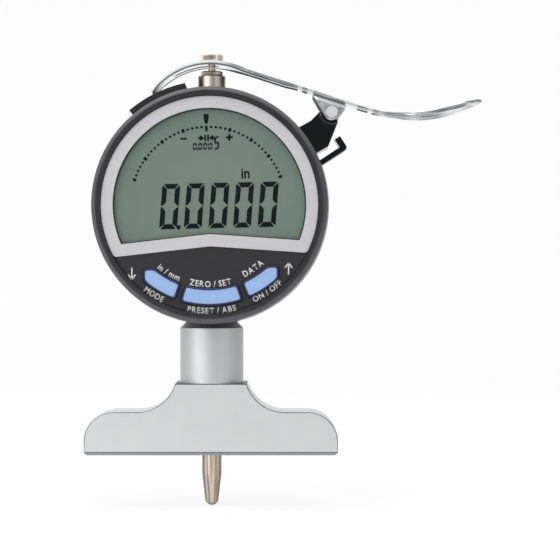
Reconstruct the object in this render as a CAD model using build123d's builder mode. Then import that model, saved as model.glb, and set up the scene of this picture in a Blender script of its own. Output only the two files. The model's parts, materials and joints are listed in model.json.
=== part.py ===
from build123d import *
import os
from math import asin, cos, degrees, radians, sin, sqrt, tan

# A digital depth gauge: a dial-shaped electronic indicator on a T-shaped steel base.
# The spindle runs along Z, the measuring face of the base is the plane Z = 0,
# and the display faces -Y. All sizes are in millimetres and all angles in degrees.

# Depth base
base_length = 63.5
base_depth = 16.0
base_arm_height = 10.8
base_height = 17.9
base_shoulder_radius = 7.4
base_neck_width = 17.9
base_neck_radius = 10.0
base_edge_chamfer = 0.7
base_passage_clearance = 0.55

# Collar between base and case
collar_diameter = 16.0
collar_height = 15.3
collar_chamfer = 1.5
collar_spigot_diameter = 12.0
collar_spigot_length = 8.5
collar_screw_diameter = 3.0
collar_screw_height = 8.0
collar_screw_key = 1.5

# Stem and spindle bearings
stem_diameter = 8.0
stem_wall = 1.0
stem_flange_diameter = 12.6
stem_flange_thickness = 1.8
stem_end_gap = 0.4
lower_bush_length = 20.0
lower_bush_inset = 3.0
upper_bush_diameter = 6.9
upper_bush_proud = 3.95
upper_bush_flange_diameter = 9.4
upper_bush_flange_thickness = 1.2

# Spindle, contact point and lifting knob
spindle_diameter = 5.0
spindle_top_diameter = 4.0
spindle_foot = 4.2
contact_diameter = 4.9
contact_tip_diameter = 3.3
contact_reach = 13.2
contact_taper_start = 5.2
contact_tip_height = 1.2
contact_stud_diameter = 2.4
contact_stud_length = 5.0
knob_flange_diameter = 5.5
knob_flange_height = 1.35
knob_neck_diameter = 1.8
knob_neck_height = 2.55
knob_head_diameter = 5.55
knob_head_height = 1.6
knob_edge_chamfer = 0.25
knob_stud_length = 4.0
spindle_travel = 13.4

# Case
case_standoff = 0.3
case_radius = 28.75
case_wall = 1.55
case_front_y = -8.3
case_back_y = 8.5
case_front_wall = 1.5
case_edge_chamfer = 0.6
cover_thickness = 1.5
cover_rim = 0.8
cover_screw_inset = 4.0
cover_screw_diameter = 2.0
cover_screw_head_diameter = 3.8
cover_screw_length = 6.0
cover_screw_slot_width = 0.5
cover_screw_slot_depth = 0.4
cover_screw_slot_turn = 35.0
screw_boss_diameter = 4.8
stem_boss_diameter = 13.0
stem_boss_height = 4.3
upper_boss_diameter = 11.0
upper_boss_proud = 0.55
upper_boss_height = 4.3

# Swivel between case and display
hub_radius = 9.0
hub_bore_radius = 6.5
hub_length = 2.4
retainer_radius = 10.6
retainer_thickness = 0.7
retainer_screw_circle = 7.75
retainer_screw_diameter = 1.4
retainer_screw_head_diameter = 2.2
retainer_screw_head_height = 0.45
retainer_screw_length = 2.6

# Display unit, turned a little in its swivel
display_turn = 1.3
bezel_overhang = 0.75
bezel_draft = 0.5
bezel_front_y = -18.0
bezel_wall = 1.6
bezel_bevel = 0.9
bezel_bevel_rise = 1.1
bezel_lip_width = 2.75
bezel_ledge_width = 1.15
bezel_ledge_depth = 1.8
bezel_ledge_thickness = 1.2
bezel_rear_gap = 0.3
display_back_thickness = 1.8
display_screw_inset = 1.6
display_screw_diameter = 1.6
display_screw_head_diameter = 2.8
display_screw_length = 4.4
display_post_diameter = 3.4
display_post_clearance = 0.3
frame_gap = 0.15
frame_rim_width = 2.9
frame_setback = 0.45
frame_corner = 1.0
panel_height = 16.4
chevron_width = 3.0
window_drop = 2.0
window_span = 21.8
panel_drop = 2.15
panel_span = 23.9
panel_setback = 0.75
panel_gap = 0.1
lens_gap = 0.05
lens_setback = 0.65
lens_thickness = 0.8
lcd_border = 0.6
lcd_thickness = 1.3
lcd_lens_gap = 0.4
lcd_overlap = 1.6
holder_thickness = 0.9
holder_window_inset = 4.0
strip_length = 15.0
strip_width = 1.4
strip_height = 2.2
board_gap = 1.9
board_thickness = 1.0

# Push buttons
button_margin = 1.8
button_height = 4.3
button_half_angle = 18.1
button_side_angle = 21.2
button_side_end = 60.0
button_stem_angle = 26.6
button_side_cut = 42.0
button_top_cut = 51.9
button_side_depth = 30.0
button_edge_chamfer = 0.2
button_corner = 0.7
button_play = 0.15
button_proud = 0.65
button_flange = 0.35
button_flange_thickness = 0.6
button_flange_gap = 0.15
button_stem_diameter = 2.4
button_travel = 0.4
button_dome_gap = 0.15
dome_diameter = 4.0
dome_height = 0.35

# Inside the case
guide_pin_diameter = 2.0
carrier_width = 10.0
carrier_depth = 7.6
carrier_drop = 4.5
carrier_height = 8.0
scale_width = 6.0
scale_length = 26.0
scale_drop = 3.0
scale_thickness = 0.8
sensor_gap = 0.3
sensor_chip_thickness = 0.4
sensor_board_width = 16.0
sensor_board_height = 34.0
sensor_board_thickness = 0.8
sensor_board_left = -11.0
sensor_post_diameter = 3.2
sensor_post_inset = 2.0
read_head_width = 7.0
read_head_height = 10.0
read_head_rise = 3.5
rail_thickness = 2.0
rail_offset = 1.3
rail_margin = 1.4
rail_land = 2.0
rail_foot_width = 5.0
rail_foot_thickness = 1.2
rail_screw_diameter = 1.6
rail_screw_head_diameter = 2.8
rail_screw_head_height = 0.9
rail_screw_length = 2.0
spring_wire_diameter = 0.4
spring_mean_diameter = 5.4
spring_turns = 6
spring_seat_gap = 0.1
battery_diameter = 11.6
battery_height = 5.4
battery_step = 0.6
battery_inset = 10.93
battery_angle = 185.3
battery_wall = 1.0
battery_cap_diameter = 14.0
battery_cap_slot_length = 9.8
battery_cap_slot_width = 1.4
battery_cap_slot_depth = 0.7
battery_contact_thickness = 0.23
battery_contact_gap = 0.02
battery_contact_diameter = 7.8
battery_post_diameter = 5.8
main_board_left = 5.6
main_board_width = 7.6
main_board_height = 14.0
main_board_inset = 12.2
main_board_thickness = 1.0
main_board_y = 1.0
chip_width = 4.7
chip_height = 5.6
chip_thickness = 1.2
chip_rise = 2.0
board_post_diameter = 2.8
board_post_drop = 3.5

# Data connector and its rubber cap
connector_angle = 114.0
connector_width = 9.0
connector_depth = 4.4
connector_height = 4.0
connector_pin_diameter = 0.6
connector_pin_pitch = 1.5
connector_pin_length = 0.5
connector_pins = 5
connector_setback = 0.6
connector_shell = 0.6
connector_socket_depth = 2.2
cap_thickness = 2.85
cap_start_angle = 102.0
cap_end_angle = 126.0
cap_depth = 12.0
cap_tab_thickness = 1.1
cap_tab_angle = 130.5
cap_plug_width = 7.6
cap_plug_depth = 3.0
cap_plug_height = 1.4
cap_plug_root = 0.2

# Lifting lever and its bracket
pivot_angle = 38.27
pivot_standoff = 9.84
pivot_pin_diameter = 2.0
pivot_head_diameter = 2.9
pivot_head_height = 0.7
lever_thickness = 0.8
lever_knob_gap = 0.15
lever_crown_radius = 19.0
lever_crown_x = -0.2
lever_tail_angle = 53.1
lever_slope = 17.9
lever_arm_length = 34.3
lever_pad_radius = 35.0
lever_pad_rise = 14.5
lever_pad_tail = 10.0
lever_width = 6.6
lever_eye_width = 11.0
lever_eye_end = 5.0
lever_eye_taper = 5.0
lever_pad_width = 13.6
lever_pad_neck = 2.7
lever_pad_flare = 8.0
lever_slot_width = 2.4
lever_slot_left = -10.0
lever_slot_right = 2.0
ear_left_reach = 4.8
ear_right_reach = 3.7
ear_radius = 2.3
ear_shoulder_angle = 21.2
bracket_depth = 10.4
bracket_start_angle = 46.5
bracket_toe_angle = 42.1
bracket_toe_rise = 0.8
bracket_step_angle = 40.7
bracket_step_rise = 4.3
bracket_top_angle = 41.2
bracket_top_rise = 7.8
bracket_front_angle = 34.5
bracket_front_rise = 10.3
bracket_foot_angle = 27.2
bracket_foot_rise = 4.3
bracket_end_angle = 26.3
bracket_root = 4.0
bracket_recess_gap = 0.6
bracket_tongue_radius = 2.15
bracket_tongue_length = 8.0
bracket_tongue_lean = 22.0
bracket_tongue_gap = 0.35
bracket_seat_gap = 0.05
hook_depth = 7.2
hook_angle = 23.15
hook_standoff = 8.65
hook_lean = 33.3
hook_thickness = 1.4
hook_tip_thickness = 1.6
hook_tip_height = 3.7
hook_length = 14.0
hook_fillet = 0.9
bracket_screw_angle = 33.5
bracket_screw_spacing = 5.6
bracket_screw_diameter = 1.6
bracket_screw_head_diameter = 2.8
bracket_screw_head_height = 0.9
bracket_screw_length = 4.4

# Clearances between pieces that fit together
fit = 0.02
running_fit = 0.03
swivel_fit = 0.05
pivot_fit = 0.04
seat_gap = 0.3
drill_depth = 1.0
reach = 60.0


# Places that follow from the sizes above
collar_top = base_height + collar_height
dial_height = collar_top + case_standoff + case_radius
stem_foot = base_height - collar_spigot_length + stem_end_gap
stem_boss_top = collar_top + stem_boss_height
stem_flange_top = stem_boss_top + stem_flange_thickness
stem_bore = stem_diameter - 2 * stem_wall
spindle_bore = spindle_diameter + 2 * running_fit
spindle_top_bore = spindle_top_diameter + 2 * running_fit
upper_boss_top = dial_height + case_radius + upper_boss_proud
upper_bush_top = dial_height + case_radius + upper_bush_proud
knob_foot = upper_bush_top + seat_gap
knob_neck_foot = knob_foot + knob_flange_height
knob_head_foot = knob_neck_foot + knob_neck_height
carrier_foot = dial_height - carrier_drop
carrier_top = carrier_foot + carrier_height
upper_boss_foot = upper_boss_top - upper_boss_height
upper_bush_foot = upper_boss_foot - upper_bush_flange_thickness
case_inner_radius = case_radius - case_wall
case_floor_y = case_front_y + case_front_wall
cover_y = case_back_y - cover_thickness
cover_radius = case_radius - cover_rim
cover_screw_circle = case_inner_radius - cover_screw_inset
battery_x = (case_inner_radius - battery_inset) * cos(radians(battery_angle))
battery_z = (case_inner_radius - battery_inset) * sin(radians(battery_angle))
main_board_z = main_board_inset - case_inner_radius
cap_radius = case_radius + cap_thickness
pivot_radius = case_radius + pivot_standoff
pivot_x = pivot_radius * cos(radians(pivot_angle))
pivot_z = dial_height + pivot_radius * sin(radians(pivot_angle))
ear_left = pivot_x - ear_left_reach
ear_right = pivot_x + ear_right_reach
hub_end_y = case_front_y - hub_length
display_back_y = case_front_y - bezel_rear_gap
display_floor_y = display_back_y - display_back_thickness
bezel_radius = case_radius + bezel_overhang
bezel_front_radius = bezel_radius - bezel_draft
bezel_bore = bezel_radius - bezel_wall
bezel_lip_radius = bezel_radius - bezel_lip_width
bezel_ledge_radius = bezel_lip_radius - bezel_ledge_width
frame_outer_radius = bezel_lip_radius - frame_gap
frame_inner_radius = frame_outer_radius - frame_rim_width
lcd_radius = frame_inner_radius + lcd_border
panel_apex = panel_height - frame_outer_radius
window_apex = panel_apex + chevron_width
board_radius = bezel_bore - board_gap
display_screw_circle = bezel_bore - display_screw_inset
button_outer_radius = frame_outer_radius - button_margin
button_inner_radius = button_outer_radius - button_height
button_side_limit = button_outer_radius * sin(radians(button_side_cut))
button_top_limit = -button_outer_radius * cos(radians(button_top_cut))
ledge_y = bezel_front_y + bezel_ledge_depth
post_end_y = ledge_y + bezel_ledge_thickness
frame_y = bezel_front_y + frame_setback
panel_y = bezel_front_y + panel_setback
lens_y = bezel_front_y + lens_setback
lcd_y = lens_y + lens_thickness + lcd_lens_gap
holder_y = lcd_y + lcd_thickness
board_y = holder_y + holder_thickness + strip_height - lcd_thickness
button_y = panel_y - button_proud
button_flange_y = ledge_y + button_flange_gap
dome_y = board_y - dome_height
button_end_y = dome_y - button_dome_gap - button_travel
scale_y = -carrier_depth / 2 - scale_thickness
sensor_chip_y = scale_y - sensor_gap - sensor_chip_thickness
sensor_board_y = sensor_chip_y - sensor_board_thickness
guide_pin_z = carrier_foot + carrier_height / 2
rail_x = carrier_width / 2 + rail_offset
rail_foot = guide_pin_z - guide_pin_diameter / 2 - rail_margin
rail_top = guide_pin_z + spindle_travel + guide_pin_diameter / 2 + rail_margin
rail_length = rail_top - rail_foot
rail_middle = (rail_top + rail_foot) / 2


def dial_plane(y, turn=0.0):
    """The dial seen from the front: origin on the dial's axis, x to the right, y up."""
    return Plane(
        origin=(0, y, dial_height),
        x_dir=(cos(radians(turn)), 0, sin(radians(turn))),
        z_dir=(0, -1, 0),
    )


def rear_plane(y, turn=0.0):
    """The same dial seen from behind: x to the left, y up."""
    return Plane(
        origin=(0, y, dial_height),
        x_dir=(-cos(radians(turn)), 0, -sin(radians(turn))),
        z_dir=(0, 1, 0),
    )


def from_behind(spots):
    """Spots of a dial plane, in the coordinates of a rear plane."""
    return [(-x, y) for x, y in spots]


def rim_plane(angle, radius, y=0.0):
    """A plane on the case's rim: its normal points outwards, its x runs round the rim."""
    out = (cos(radians(angle)), 0, sin(radians(angle)))
    return Plane(
        origin=(radius * out[0], y, dial_height + radius * out[2]),
        x_dir=(-out[2], 0, out[0]),
        z_dir=out,
    )


def on_dial(radius, angle):
    """A point at this radius and angle, in a dial plane's own x and y."""
    return (radius * cos(radians(angle)), radius * sin(radians(angle)))


# Depth base: a T-shaped steel block with the measuring face underneath
shoulder_x = base_length / 2 - base_shoulder_radius
neck_rise = base_height - base_arm_height
neck_centre_x = base_neck_width / 2 + sqrt(base_neck_radius**2 - (base_neck_radius - neck_rise) ** 2)
neck_sweep = degrees(asin((neck_centre_x - base_neck_width / 2) / base_neck_radius))
with BuildPart() as depth_base:
    with BuildSketch(Plane.XZ):
        with BuildLine():
            Polyline((0, 0), (base_length / 2, 0), (base_length / 2, base_arm_height - base_shoulder_radius))
            CenterArc((shoulder_x, base_arm_height - base_shoulder_radius), base_shoulder_radius, 0, 90)
            Line((shoulder_x, base_arm_height), (neck_centre_x, base_arm_height))
            CenterArc((neck_centre_x, base_arm_height + base_neck_radius), base_neck_radius, 270, -neck_sweep)
            Line((base_neck_width / 2, base_height), (0, base_height))
            mirror(about=Plane.YZ)
        make_face()
    extrude(amount=base_depth / 2, both=True)
    chamfer(depth_base.faces().sort_by(Axis.Z)[0].edges(), base_edge_chamfer)
    with Locations((0, 0, base_height)):
        CounterBoreHole(
            radius=contact_diameter / 2 + base_passage_clearance,
            counter_bore_radius=collar_spigot_diameter / 2 + fit,
            counter_bore_depth=collar_spigot_length,
        )

# Collar: a turned sleeve, pressed into the base, that clamps the indicator's stem
collar_screw_z = base_height + collar_screw_height
with BuildPart() as collar:
    with BuildSketch(Plane.XZ):
        with BuildLine():
            Polyline(
                (stem_diameter / 2 + fit, base_height - collar_spigot_length),
                (collar_spigot_diameter / 2, base_height - collar_spigot_length),
                (collar_spigot_diameter / 2, base_height),
                (collar_diameter / 2, base_height),
                (collar_diameter / 2, collar_top - collar_chamfer),
                (collar_diameter / 2 - collar_chamfer, collar_top),
                (stem_diameter / 2 + fit, collar_top),
                close=True,
            )
        make_face()
    revolve(axis=Axis.Z)
    with Locations(Plane(origin=(0, collar_diameter / 2, collar_screw_z), z_dir=(0, 1, 0))):
        Hole(radius=collar_screw_diameter / 2 + fit, depth=collar_diameter / 2)

# Clamp screw: a grub screw with a hexagon socket, at the collar's rear
collar_screw_end = collar_diameter / 2 - 0.3
with BuildPart() as collar_screw:
    with BuildSketch(Plane(origin=(0, stem_diameter / 2 + fit, collar_screw_z), z_dir=(0, 1, 0))):
        Circle(collar_screw_diameter / 2)
    extrude(amount=collar_screw_end - stem_diameter / 2 - fit)
    with BuildSketch(Plane(origin=(0, collar_screw_end, collar_screw_z), z_dir=(0, 1, 0))):
        RegularPolygon(collar_screw_key / 2, 6, major_radius=False)
    extrude(amount=-collar_screw_key, mode=Mode.SUBTRACT)

# Stem: the indicator's Ø8 mounting tube, flanged inside the case
with BuildPart() as stem:
    with BuildSketch(Plane.XZ):
        with BuildLine():
            Polyline(
                (stem_bore / 2, stem_foot),
                (stem_diameter / 2, stem_foot),
                (stem_diameter / 2, stem_boss_top),
                (stem_flange_diameter / 2, stem_boss_top),
                (stem_flange_diameter / 2, stem_flange_top),
                (stem_bore / 2, stem_flange_top),
                close=True,
            )
        make_face()
    revolve(axis=Axis.Z)

# Lower bush: carries the spindle inside the stem
with BuildPart() as lower_bush:
    with BuildSketch(Plane.XY.offset(stem_foot + lower_bush_inset)):
        Circle(stem_bore / 2 - fit)
        Circle(spindle_bore / 2, mode=Mode.SUBTRACT)
    extrude(amount=lower_bush_length)

# Upper bush: guides the thinner end of the spindle through the top of the case
with BuildPart() as upper_bush:
    with BuildSketch(Plane.XZ):
        with BuildLine():
            Polyline(
                (spindle_top_bore / 2, upper_bush_foot),
                (upper_bush_flange_diameter / 2, upper_bush_foot),
                (upper_bush_flange_diameter / 2, upper_boss_foot),
                (upper_bush_diameter / 2, upper_boss_foot),
                (upper_bush_diameter / 2, upper_bush_top - knob_edge_chamfer),
                (upper_bush_diameter / 2 - knob_edge_chamfer, upper_bush_top),
                (spindle_top_bore / 2, upper_bush_top),
                close=True,
            )
        make_face()
    revolve(axis=Axis.Z)

# Spindle: a stepped rod, bored at both ends for the contact point and the knob
with BuildPart() as spindle:
    with BuildSketch(Plane.XZ):
        with BuildLine():
            Polyline(
                (0, spindle_foot),
                (spindle_diameter / 2, spindle_foot),
                (spindle_diameter / 2, carrier_top),
                (spindle_top_diameter / 2, carrier_top),
                (spindle_top_diameter / 2, knob_foot),
                (0, knob_foot),
                close=True,
            )
        make_face()
    revolve(axis=Axis.Z)
    with Locations((0, 0, knob_foot)):
        Hole(radius=knob_neck_diameter / 2 + fit, depth=knob_stud_length + stem_end_gap)
    with Locations(Plane(origin=(0, 0, spindle_foot), z_dir=(0, 0, -1))):
        Hole(radius=contact_stud_diameter / 2 + fit, depth=contact_stud_length + stem_end_gap)

# Contact point: a hardened tip that screws into the spindle
tip_z = -contact_reach
tip_sphere = ((contact_tip_diameter / 2) ** 2 + contact_tip_height**2) / (2 * contact_tip_height)
tip_half = asin(contact_tip_diameter / 2 / tip_sphere) / 2
with BuildPart() as contact_point:
    with BuildSketch(Plane.XZ):
        with BuildLine():
            Polyline(
                (contact_tip_diameter / 2, tip_z + contact_tip_height),
                (contact_diameter / 2, -contact_taper_start),
                (contact_diameter / 2, spindle_foot),
                (contact_stud_diameter / 2, spindle_foot),
                (contact_stud_diameter / 2, spindle_foot + contact_stud_length),
                (0, spindle_foot + contact_stud_length),
                (0, tip_z),
            )
            ThreePointArc(
                (0, tip_z),
                (tip_sphere * sin(tip_half), tip_z + tip_sphere * (1 - cos(tip_half))),
                (contact_tip_diameter / 2, tip_z + contact_tip_height),
            )
        make_face()
    revolve(axis=Axis.Z)

# Lifting knob: a flange, a neck for the lever's slot and a head
with BuildPart() as lifting_knob:
    with BuildSketch(Plane.XZ):
        with BuildLine():
            Polyline(
                (0, knob_foot - knob_stud_length),
                (knob_neck_diameter / 2, knob_foot - knob_stud_length),
                (knob_neck_diameter / 2, knob_foot),
                (knob_flange_diameter / 2, knob_foot),
                (knob_flange_diameter / 2, knob_neck_foot),
                (knob_neck_diameter / 2, knob_neck_foot),
                (knob_neck_diameter / 2, knob_head_foot),
                (knob_head_diameter / 2 - knob_edge_chamfer, knob_head_foot),
                (knob_head_diameter / 2, knob_head_foot + knob_edge_chamfer),
                (knob_head_diameter / 2, knob_head_foot + knob_head_height - knob_edge_chamfer),
                (knob_head_diameter / 2 - knob_edge_chamfer, knob_head_foot + knob_head_height),
                (0, knob_head_foot + knob_head_height),
                close=True,
            )
        make_face()
    revolve(axis=Axis.Z)

# Rear case: a shallow cup, open at the back, with bosses for stem, bush, screws and swivel
cover_screw_spots = [on_dial(cover_screw_circle, angle) for angle in (30, 150, 210, 330)]
retainer_screw_spots = [on_dial(retainer_screw_circle, angle) for angle in (90, 210, 330)]
rail_screw_x = rail_x + rail_thickness + rail_foot_width / 2
rail_screw_heights = (rail_middle - rail_length / 3, rail_middle + rail_length / 3)
rail_screw_spots = [(rail_screw_x, z - dial_height) for z in rail_screw_heights]
sensor_board_x = sensor_board_left + sensor_board_width / 2
board_post_spots = [
    (
        sensor_board_x + side * (sensor_board_width / 2 - sensor_post_inset),
        side * (sensor_board_height / 2 - sensor_post_inset),
    )
    for side in (-1, 1)
]
with BuildPart() as rear_case:
    with BuildSketch(dial_plane(case_back_y)):
        Circle(case_radius)
    extrude(amount=case_back_y - case_front_y)
    chamfer(rear_case.edges().group_by(Axis.Y)[-1], case_edge_chamfer)
    with BuildSketch(dial_plane(case_front_y)):
        Circle(hub_radius)
    extrude(amount=hub_length)
    with BuildSketch(Plane.XY.offset(collar_top)):
        Circle(stem_boss_diameter / 2)
    extrude(amount=stem_boss_height)
    with BuildSketch(Plane.XY.offset(upper_boss_foot)):
        Circle(upper_boss_diameter / 2)
    extrude(amount=upper_boss_height)
    with BuildSketch(dial_plane(case_back_y)):
        Circle(case_inner_radius)
    extrude(amount=case_back_y - case_floor_y, mode=Mode.SUBTRACT)
    with BuildSketch(dial_plane(case_back_y)):
        Circle(cover_radius + fit)
    extrude(amount=cover_thickness, mode=Mode.SUBTRACT)
    with BuildSketch(dial_plane(cover_y)):
        with Locations(*cover_screw_spots):
            Circle(screw_boss_diameter / 2)
    extrude(amount=cover_y - case_front_y)
    with BuildSketch(dial_plane(sensor_board_y)):
        with Locations(*board_post_spots):
            Circle(sensor_post_diameter / 2)
    extrude(amount=sensor_board_y - case_front_y)
    with BuildSketch(Plane.XY.offset(collar_top)):
        Circle(stem_boss_diameter / 2)
    extrude(amount=stem_boss_height)
    with BuildSketch(Plane.XY.offset(upper_boss_foot)):
        Circle(upper_boss_diameter / 2)
    extrude(amount=upper_boss_height)
    with Locations((0, 0, stem_boss_top)):
        Hole(radius=stem_diameter / 2 + fit, depth=stem_boss_height + seat_gap)
    with Locations((0, 0, upper_boss_top)):
        Hole(radius=upper_bush_diameter / 2 + fit, depth=upper_boss_height + seat_gap)
    with Locations(dial_plane(hub_end_y)):
        Hole(radius=hub_bore_radius, depth=hub_length + case_front_wall)
        with Locations(*retainer_screw_spots):
            Hole(radius=retainer_screw_diameter / 2 + fit, depth=retainer_screw_length)
    with Locations(rear_plane(cover_y)):
        with Locations(*from_behind(cover_screw_spots)):
            Hole(radius=cover_screw_diameter / 2 + fit, depth=cover_screw_length)
    with Locations(rear_plane(case_floor_y)):
        with Locations(*from_behind(rail_screw_spots)):
            Hole(radius=rail_screw_diameter / 2 + fit, depth=rail_screw_length - rail_foot_thickness + fit)
    with BuildSketch(rim_plane(connector_angle, case_radius + fit)):
        Rectangle(connector_width + 2 * fit, connector_depth + 2 * fit)
    extrude(amount=-connector_height, mode=Mode.SUBTRACT)
    for y in (-bracket_screw_spacing / 2, bracket_screw_spacing / 2):
        with Locations(rim_plane(bracket_screw_angle, case_radius + fit, y)):
            Hole(radius=bracket_screw_diameter / 2 + fit, depth=case_wall + drill_depth)

# Back cover: a disc that closes the case, with a round hatch over the battery
with BuildPart() as back_cover:
    with BuildSketch(dial_plane(cover_y)):
        Circle(cover_radius)
        with Locations((battery_x, battery_z)):
            Circle(battery_cap_diameter / 2 + fit, mode=Mode.SUBTRACT)
    extrude(amount=-cover_thickness)
    with Locations(rear_plane(case_back_y)):
        with Locations(*from_behind(cover_screw_spots)):
            CounterSinkHole(
                radius=cover_screw_diameter / 2 + fit,
                counter_sink_radius=cover_screw_head_diameter / 2 + fit,
                counter_sink_angle=90,
            )

# Cover screws: four slotted countersunk screws
cover_head_height = (cover_screw_head_diameter - cover_screw_diameter) / 2
with BuildPart() as cover_screws:
    with BuildSketch(dial_plane(case_back_y)):
        with Locations(*cover_screw_spots):
            Circle(cover_screw_head_diameter / 2)
    extrude(amount=cover_head_height, taper=45)
    with BuildSketch(dial_plane(case_back_y - cover_head_height)):
        with Locations(*cover_screw_spots):
            Circle(cover_screw_diameter / 2)
    extrude(amount=cover_screw_length - cover_head_height)
    with BuildSketch(dial_plane(case_back_y)):
        with Locations(*cover_screw_spots):
            Rectangle(cover_screw_head_diameter, cover_screw_slot_width, rotation=cover_screw_slot_turn)
    extrude(amount=cover_screw_slot_depth, mode=Mode.SUBTRACT)

# Battery cap: a round hatch with a coin slot
with BuildPart() as battery_cap:
    with BuildSketch(dial_plane(cover_y)):
        with Locations((battery_x, battery_z)):
            Circle(battery_cap_diameter / 2)
    extrude(amount=-cover_thickness)
    with BuildSketch(dial_plane(case_back_y)):
        with Locations((battery_x, battery_z)):
            SlotOverall(battery_cap_slot_length, battery_cap_slot_width)
    extrude(amount=battery_cap_slot_depth, mode=Mode.SUBTRACT)

# Battery: a button cell with a stepped rim
battery_y = cover_y - seat_gap - battery_height
with BuildPart() as battery:
    with BuildSketch(dial_plane(battery_y)):
        with Locations((battery_x, battery_z)):
            Circle(battery_diameter / 2)
    extrude(amount=-battery_height)
    chamfer(battery.edges().group_by(Axis.Y)[0], battery_step)

# Battery well: a plastic cup on the floor of the case
well_floor_y = battery_y - battery_wall - battery_contact_thickness - battery_contact_gap
with BuildPart() as battery_well:
    with BuildSketch(dial_plane(cover_y - fit)):
        with Locations((battery_x, battery_z)):
            Circle(battery_diameter / 2 + battery_wall + 2 * fit)
    extrude(amount=cover_y - fit - well_floor_y)
    with BuildSketch(dial_plane(cover_y - fit)):
        with Locations((battery_x, battery_z)):
            Circle(battery_diameter / 2 + 2 * fit)
    extrude(amount=cover_y - fit - well_floor_y - battery_wall, mode=Mode.SUBTRACT)
    with BuildSketch(dial_plane(well_floor_y)):
        with Locations((battery_x, battery_z)):
            Circle(battery_post_diameter / 2)
    extrude(amount=well_floor_y - case_floor_y)

# Battery contact: a thin metal disc under the cell
with BuildPart() as battery_contact:
    with BuildSketch(dial_plane(battery_y)):
        with Locations((battery_x, battery_z)):
            Circle(battery_contact_diameter / 2)
    extrude(amount=battery_contact_thickness)

# Scale carrier: a block clamped on the spindle, with the scale on its front
with BuildPart() as scale_carrier:
    with BuildSketch(Plane.XY.offset(carrier_foot)):
        Rectangle(carrier_width, carrier_depth)
        Circle(spindle_diameter / 2 + fit, mode=Mode.SUBTRACT)
    extrude(amount=carrier_height)
    with Locations(Plane(origin=(carrier_width / 2, 0, guide_pin_z), z_dir=(1, 0, 0))):
        Hole(radius=guide_pin_diameter / 2 + fit, depth=(carrier_width - spindle_diameter) / 2)

# Encoder scale: a glass strip that travels past the read head
with BuildPart() as encoder_scale:
    with BuildSketch(Plane.XZ.offset(carrier_depth / 2)):
        with Locations((0, guide_pin_z - scale_drop)):
            Rectangle(scale_width, scale_length)
    extrude(amount=scale_thickness)

# Guide pin and guide rail: they stop the spindle turning
pin_length = rail_x + rail_thickness - spindle_diameter / 2 - seat_gap
with BuildPart() as guide_pin:
    with BuildSketch(Plane(origin=(spindle_diameter / 2 + seat_gap, 0, guide_pin_z), z_dir=(1, 0, 0))):
        Circle(guide_pin_diameter / 2)
    extrude(amount=pin_length)

rail_depth = guide_pin_diameter + 2 * rail_land
with BuildPart() as guide_rail:
    with BuildSketch(Plane(origin=(rail_x, 0, rail_middle), x_dir=(0, 1, 0), z_dir=(1, 0, 0))):
        with Locations(((rail_depth / 2 + case_floor_y) / 2, 0)):
            Rectangle(rail_depth / 2 - case_floor_y, rail_length)
        SlotOverall(
            rail_length - 2 * rail_margin + 2 * running_fit,
            guide_pin_diameter + 2 * running_fit,
            rotation=90,
            mode=Mode.SUBTRACT,
        )
    extrude(amount=rail_thickness)
    with BuildSketch(Plane.XZ.offset(-case_floor_y)):
        with Locations((rail_x + rail_thickness + rail_foot_width / 2, rail_middle)):
            Rectangle(rail_foot_width, rail_length)
    extrude(amount=-rail_foot_thickness)
    with Locations(rear_plane(case_floor_y + rail_foot_thickness)):
        with Locations(*from_behind(rail_screw_spots)):
            Hole(radius=rail_screw_diameter / 2 + fit, depth=rail_foot_thickness)

with BuildPart() as rail_screws:
    rail_screw_seat = rear_plane(case_floor_y + rail_foot_thickness)
    with BuildSketch(rail_screw_seat):
        with Locations(*from_behind(rail_screw_spots)):
            Circle(rail_screw_head_diameter / 2)
    extrude(amount=rail_screw_head_height)
    with BuildSketch(rail_screw_seat):
        with Locations(*from_behind(rail_screw_spots)):
            Circle(rail_screw_diameter / 2)
    extrude(amount=-rail_screw_length)

# Sensor board and read head: they face the scale across a narrow gap
with BuildPart() as sensor_board:
    with BuildSketch(dial_plane(sensor_board_y)):
        with Locations((sensor_board_x, 0)):
            Rectangle(sensor_board_width, sensor_board_height)
    extrude(amount=-sensor_board_thickness)

with BuildPart() as read_head:
    with BuildSketch(dial_plane(sensor_chip_y)):
        with Locations((0, read_head_rise)):
            Rectangle(read_head_width, read_head_height)
    extrude(amount=-sensor_chip_thickness)

# Main board: the gauge's processor, beside the spindle
main_board_x = main_board_left + main_board_width / 2
with BuildPart() as main_board:
    with BuildSketch(dial_plane(main_board_y)):
        with Locations((main_board_x, main_board_z)):
            Rectangle(main_board_width, main_board_height)
    extrude(amount=-main_board_thickness)
    with BuildSketch(dial_plane(main_board_y)):
        with Locations((main_board_x, main_board_z + chip_rise)):
            Rectangle(chip_width, chip_height)
    extrude(amount=chip_thickness)
    with BuildSketch(dial_plane(main_board_y)):
        with Locations((main_board_x, main_board_z - board_post_drop)):
            Circle(board_post_diameter / 2)
    extrude(amount=main_board_y - case_floor_y)

# Return spring: pushes the spindle down from under the upper bush
spring_foot = carrier_top + spring_seat_gap + spring_wire_diameter / 2
spring_top = upper_bush_foot - spring_seat_gap - spring_wire_diameter / 2
with BuildPart() as return_spring:
    with BuildLine(Plane.XY.offset(spring_foot)):
        coil = Helix(
            pitch=(spring_top - spring_foot) / spring_turns,
            height=spring_top - spring_foot,
            radius=spring_mean_diameter / 2,
        )
    with BuildSketch(Plane(origin=coil @ 0, z_dir=coil % 0)):
        RegularPolygon(spring_wire_diameter / 2, 4)
    sweep(is_frenet=True)

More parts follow.
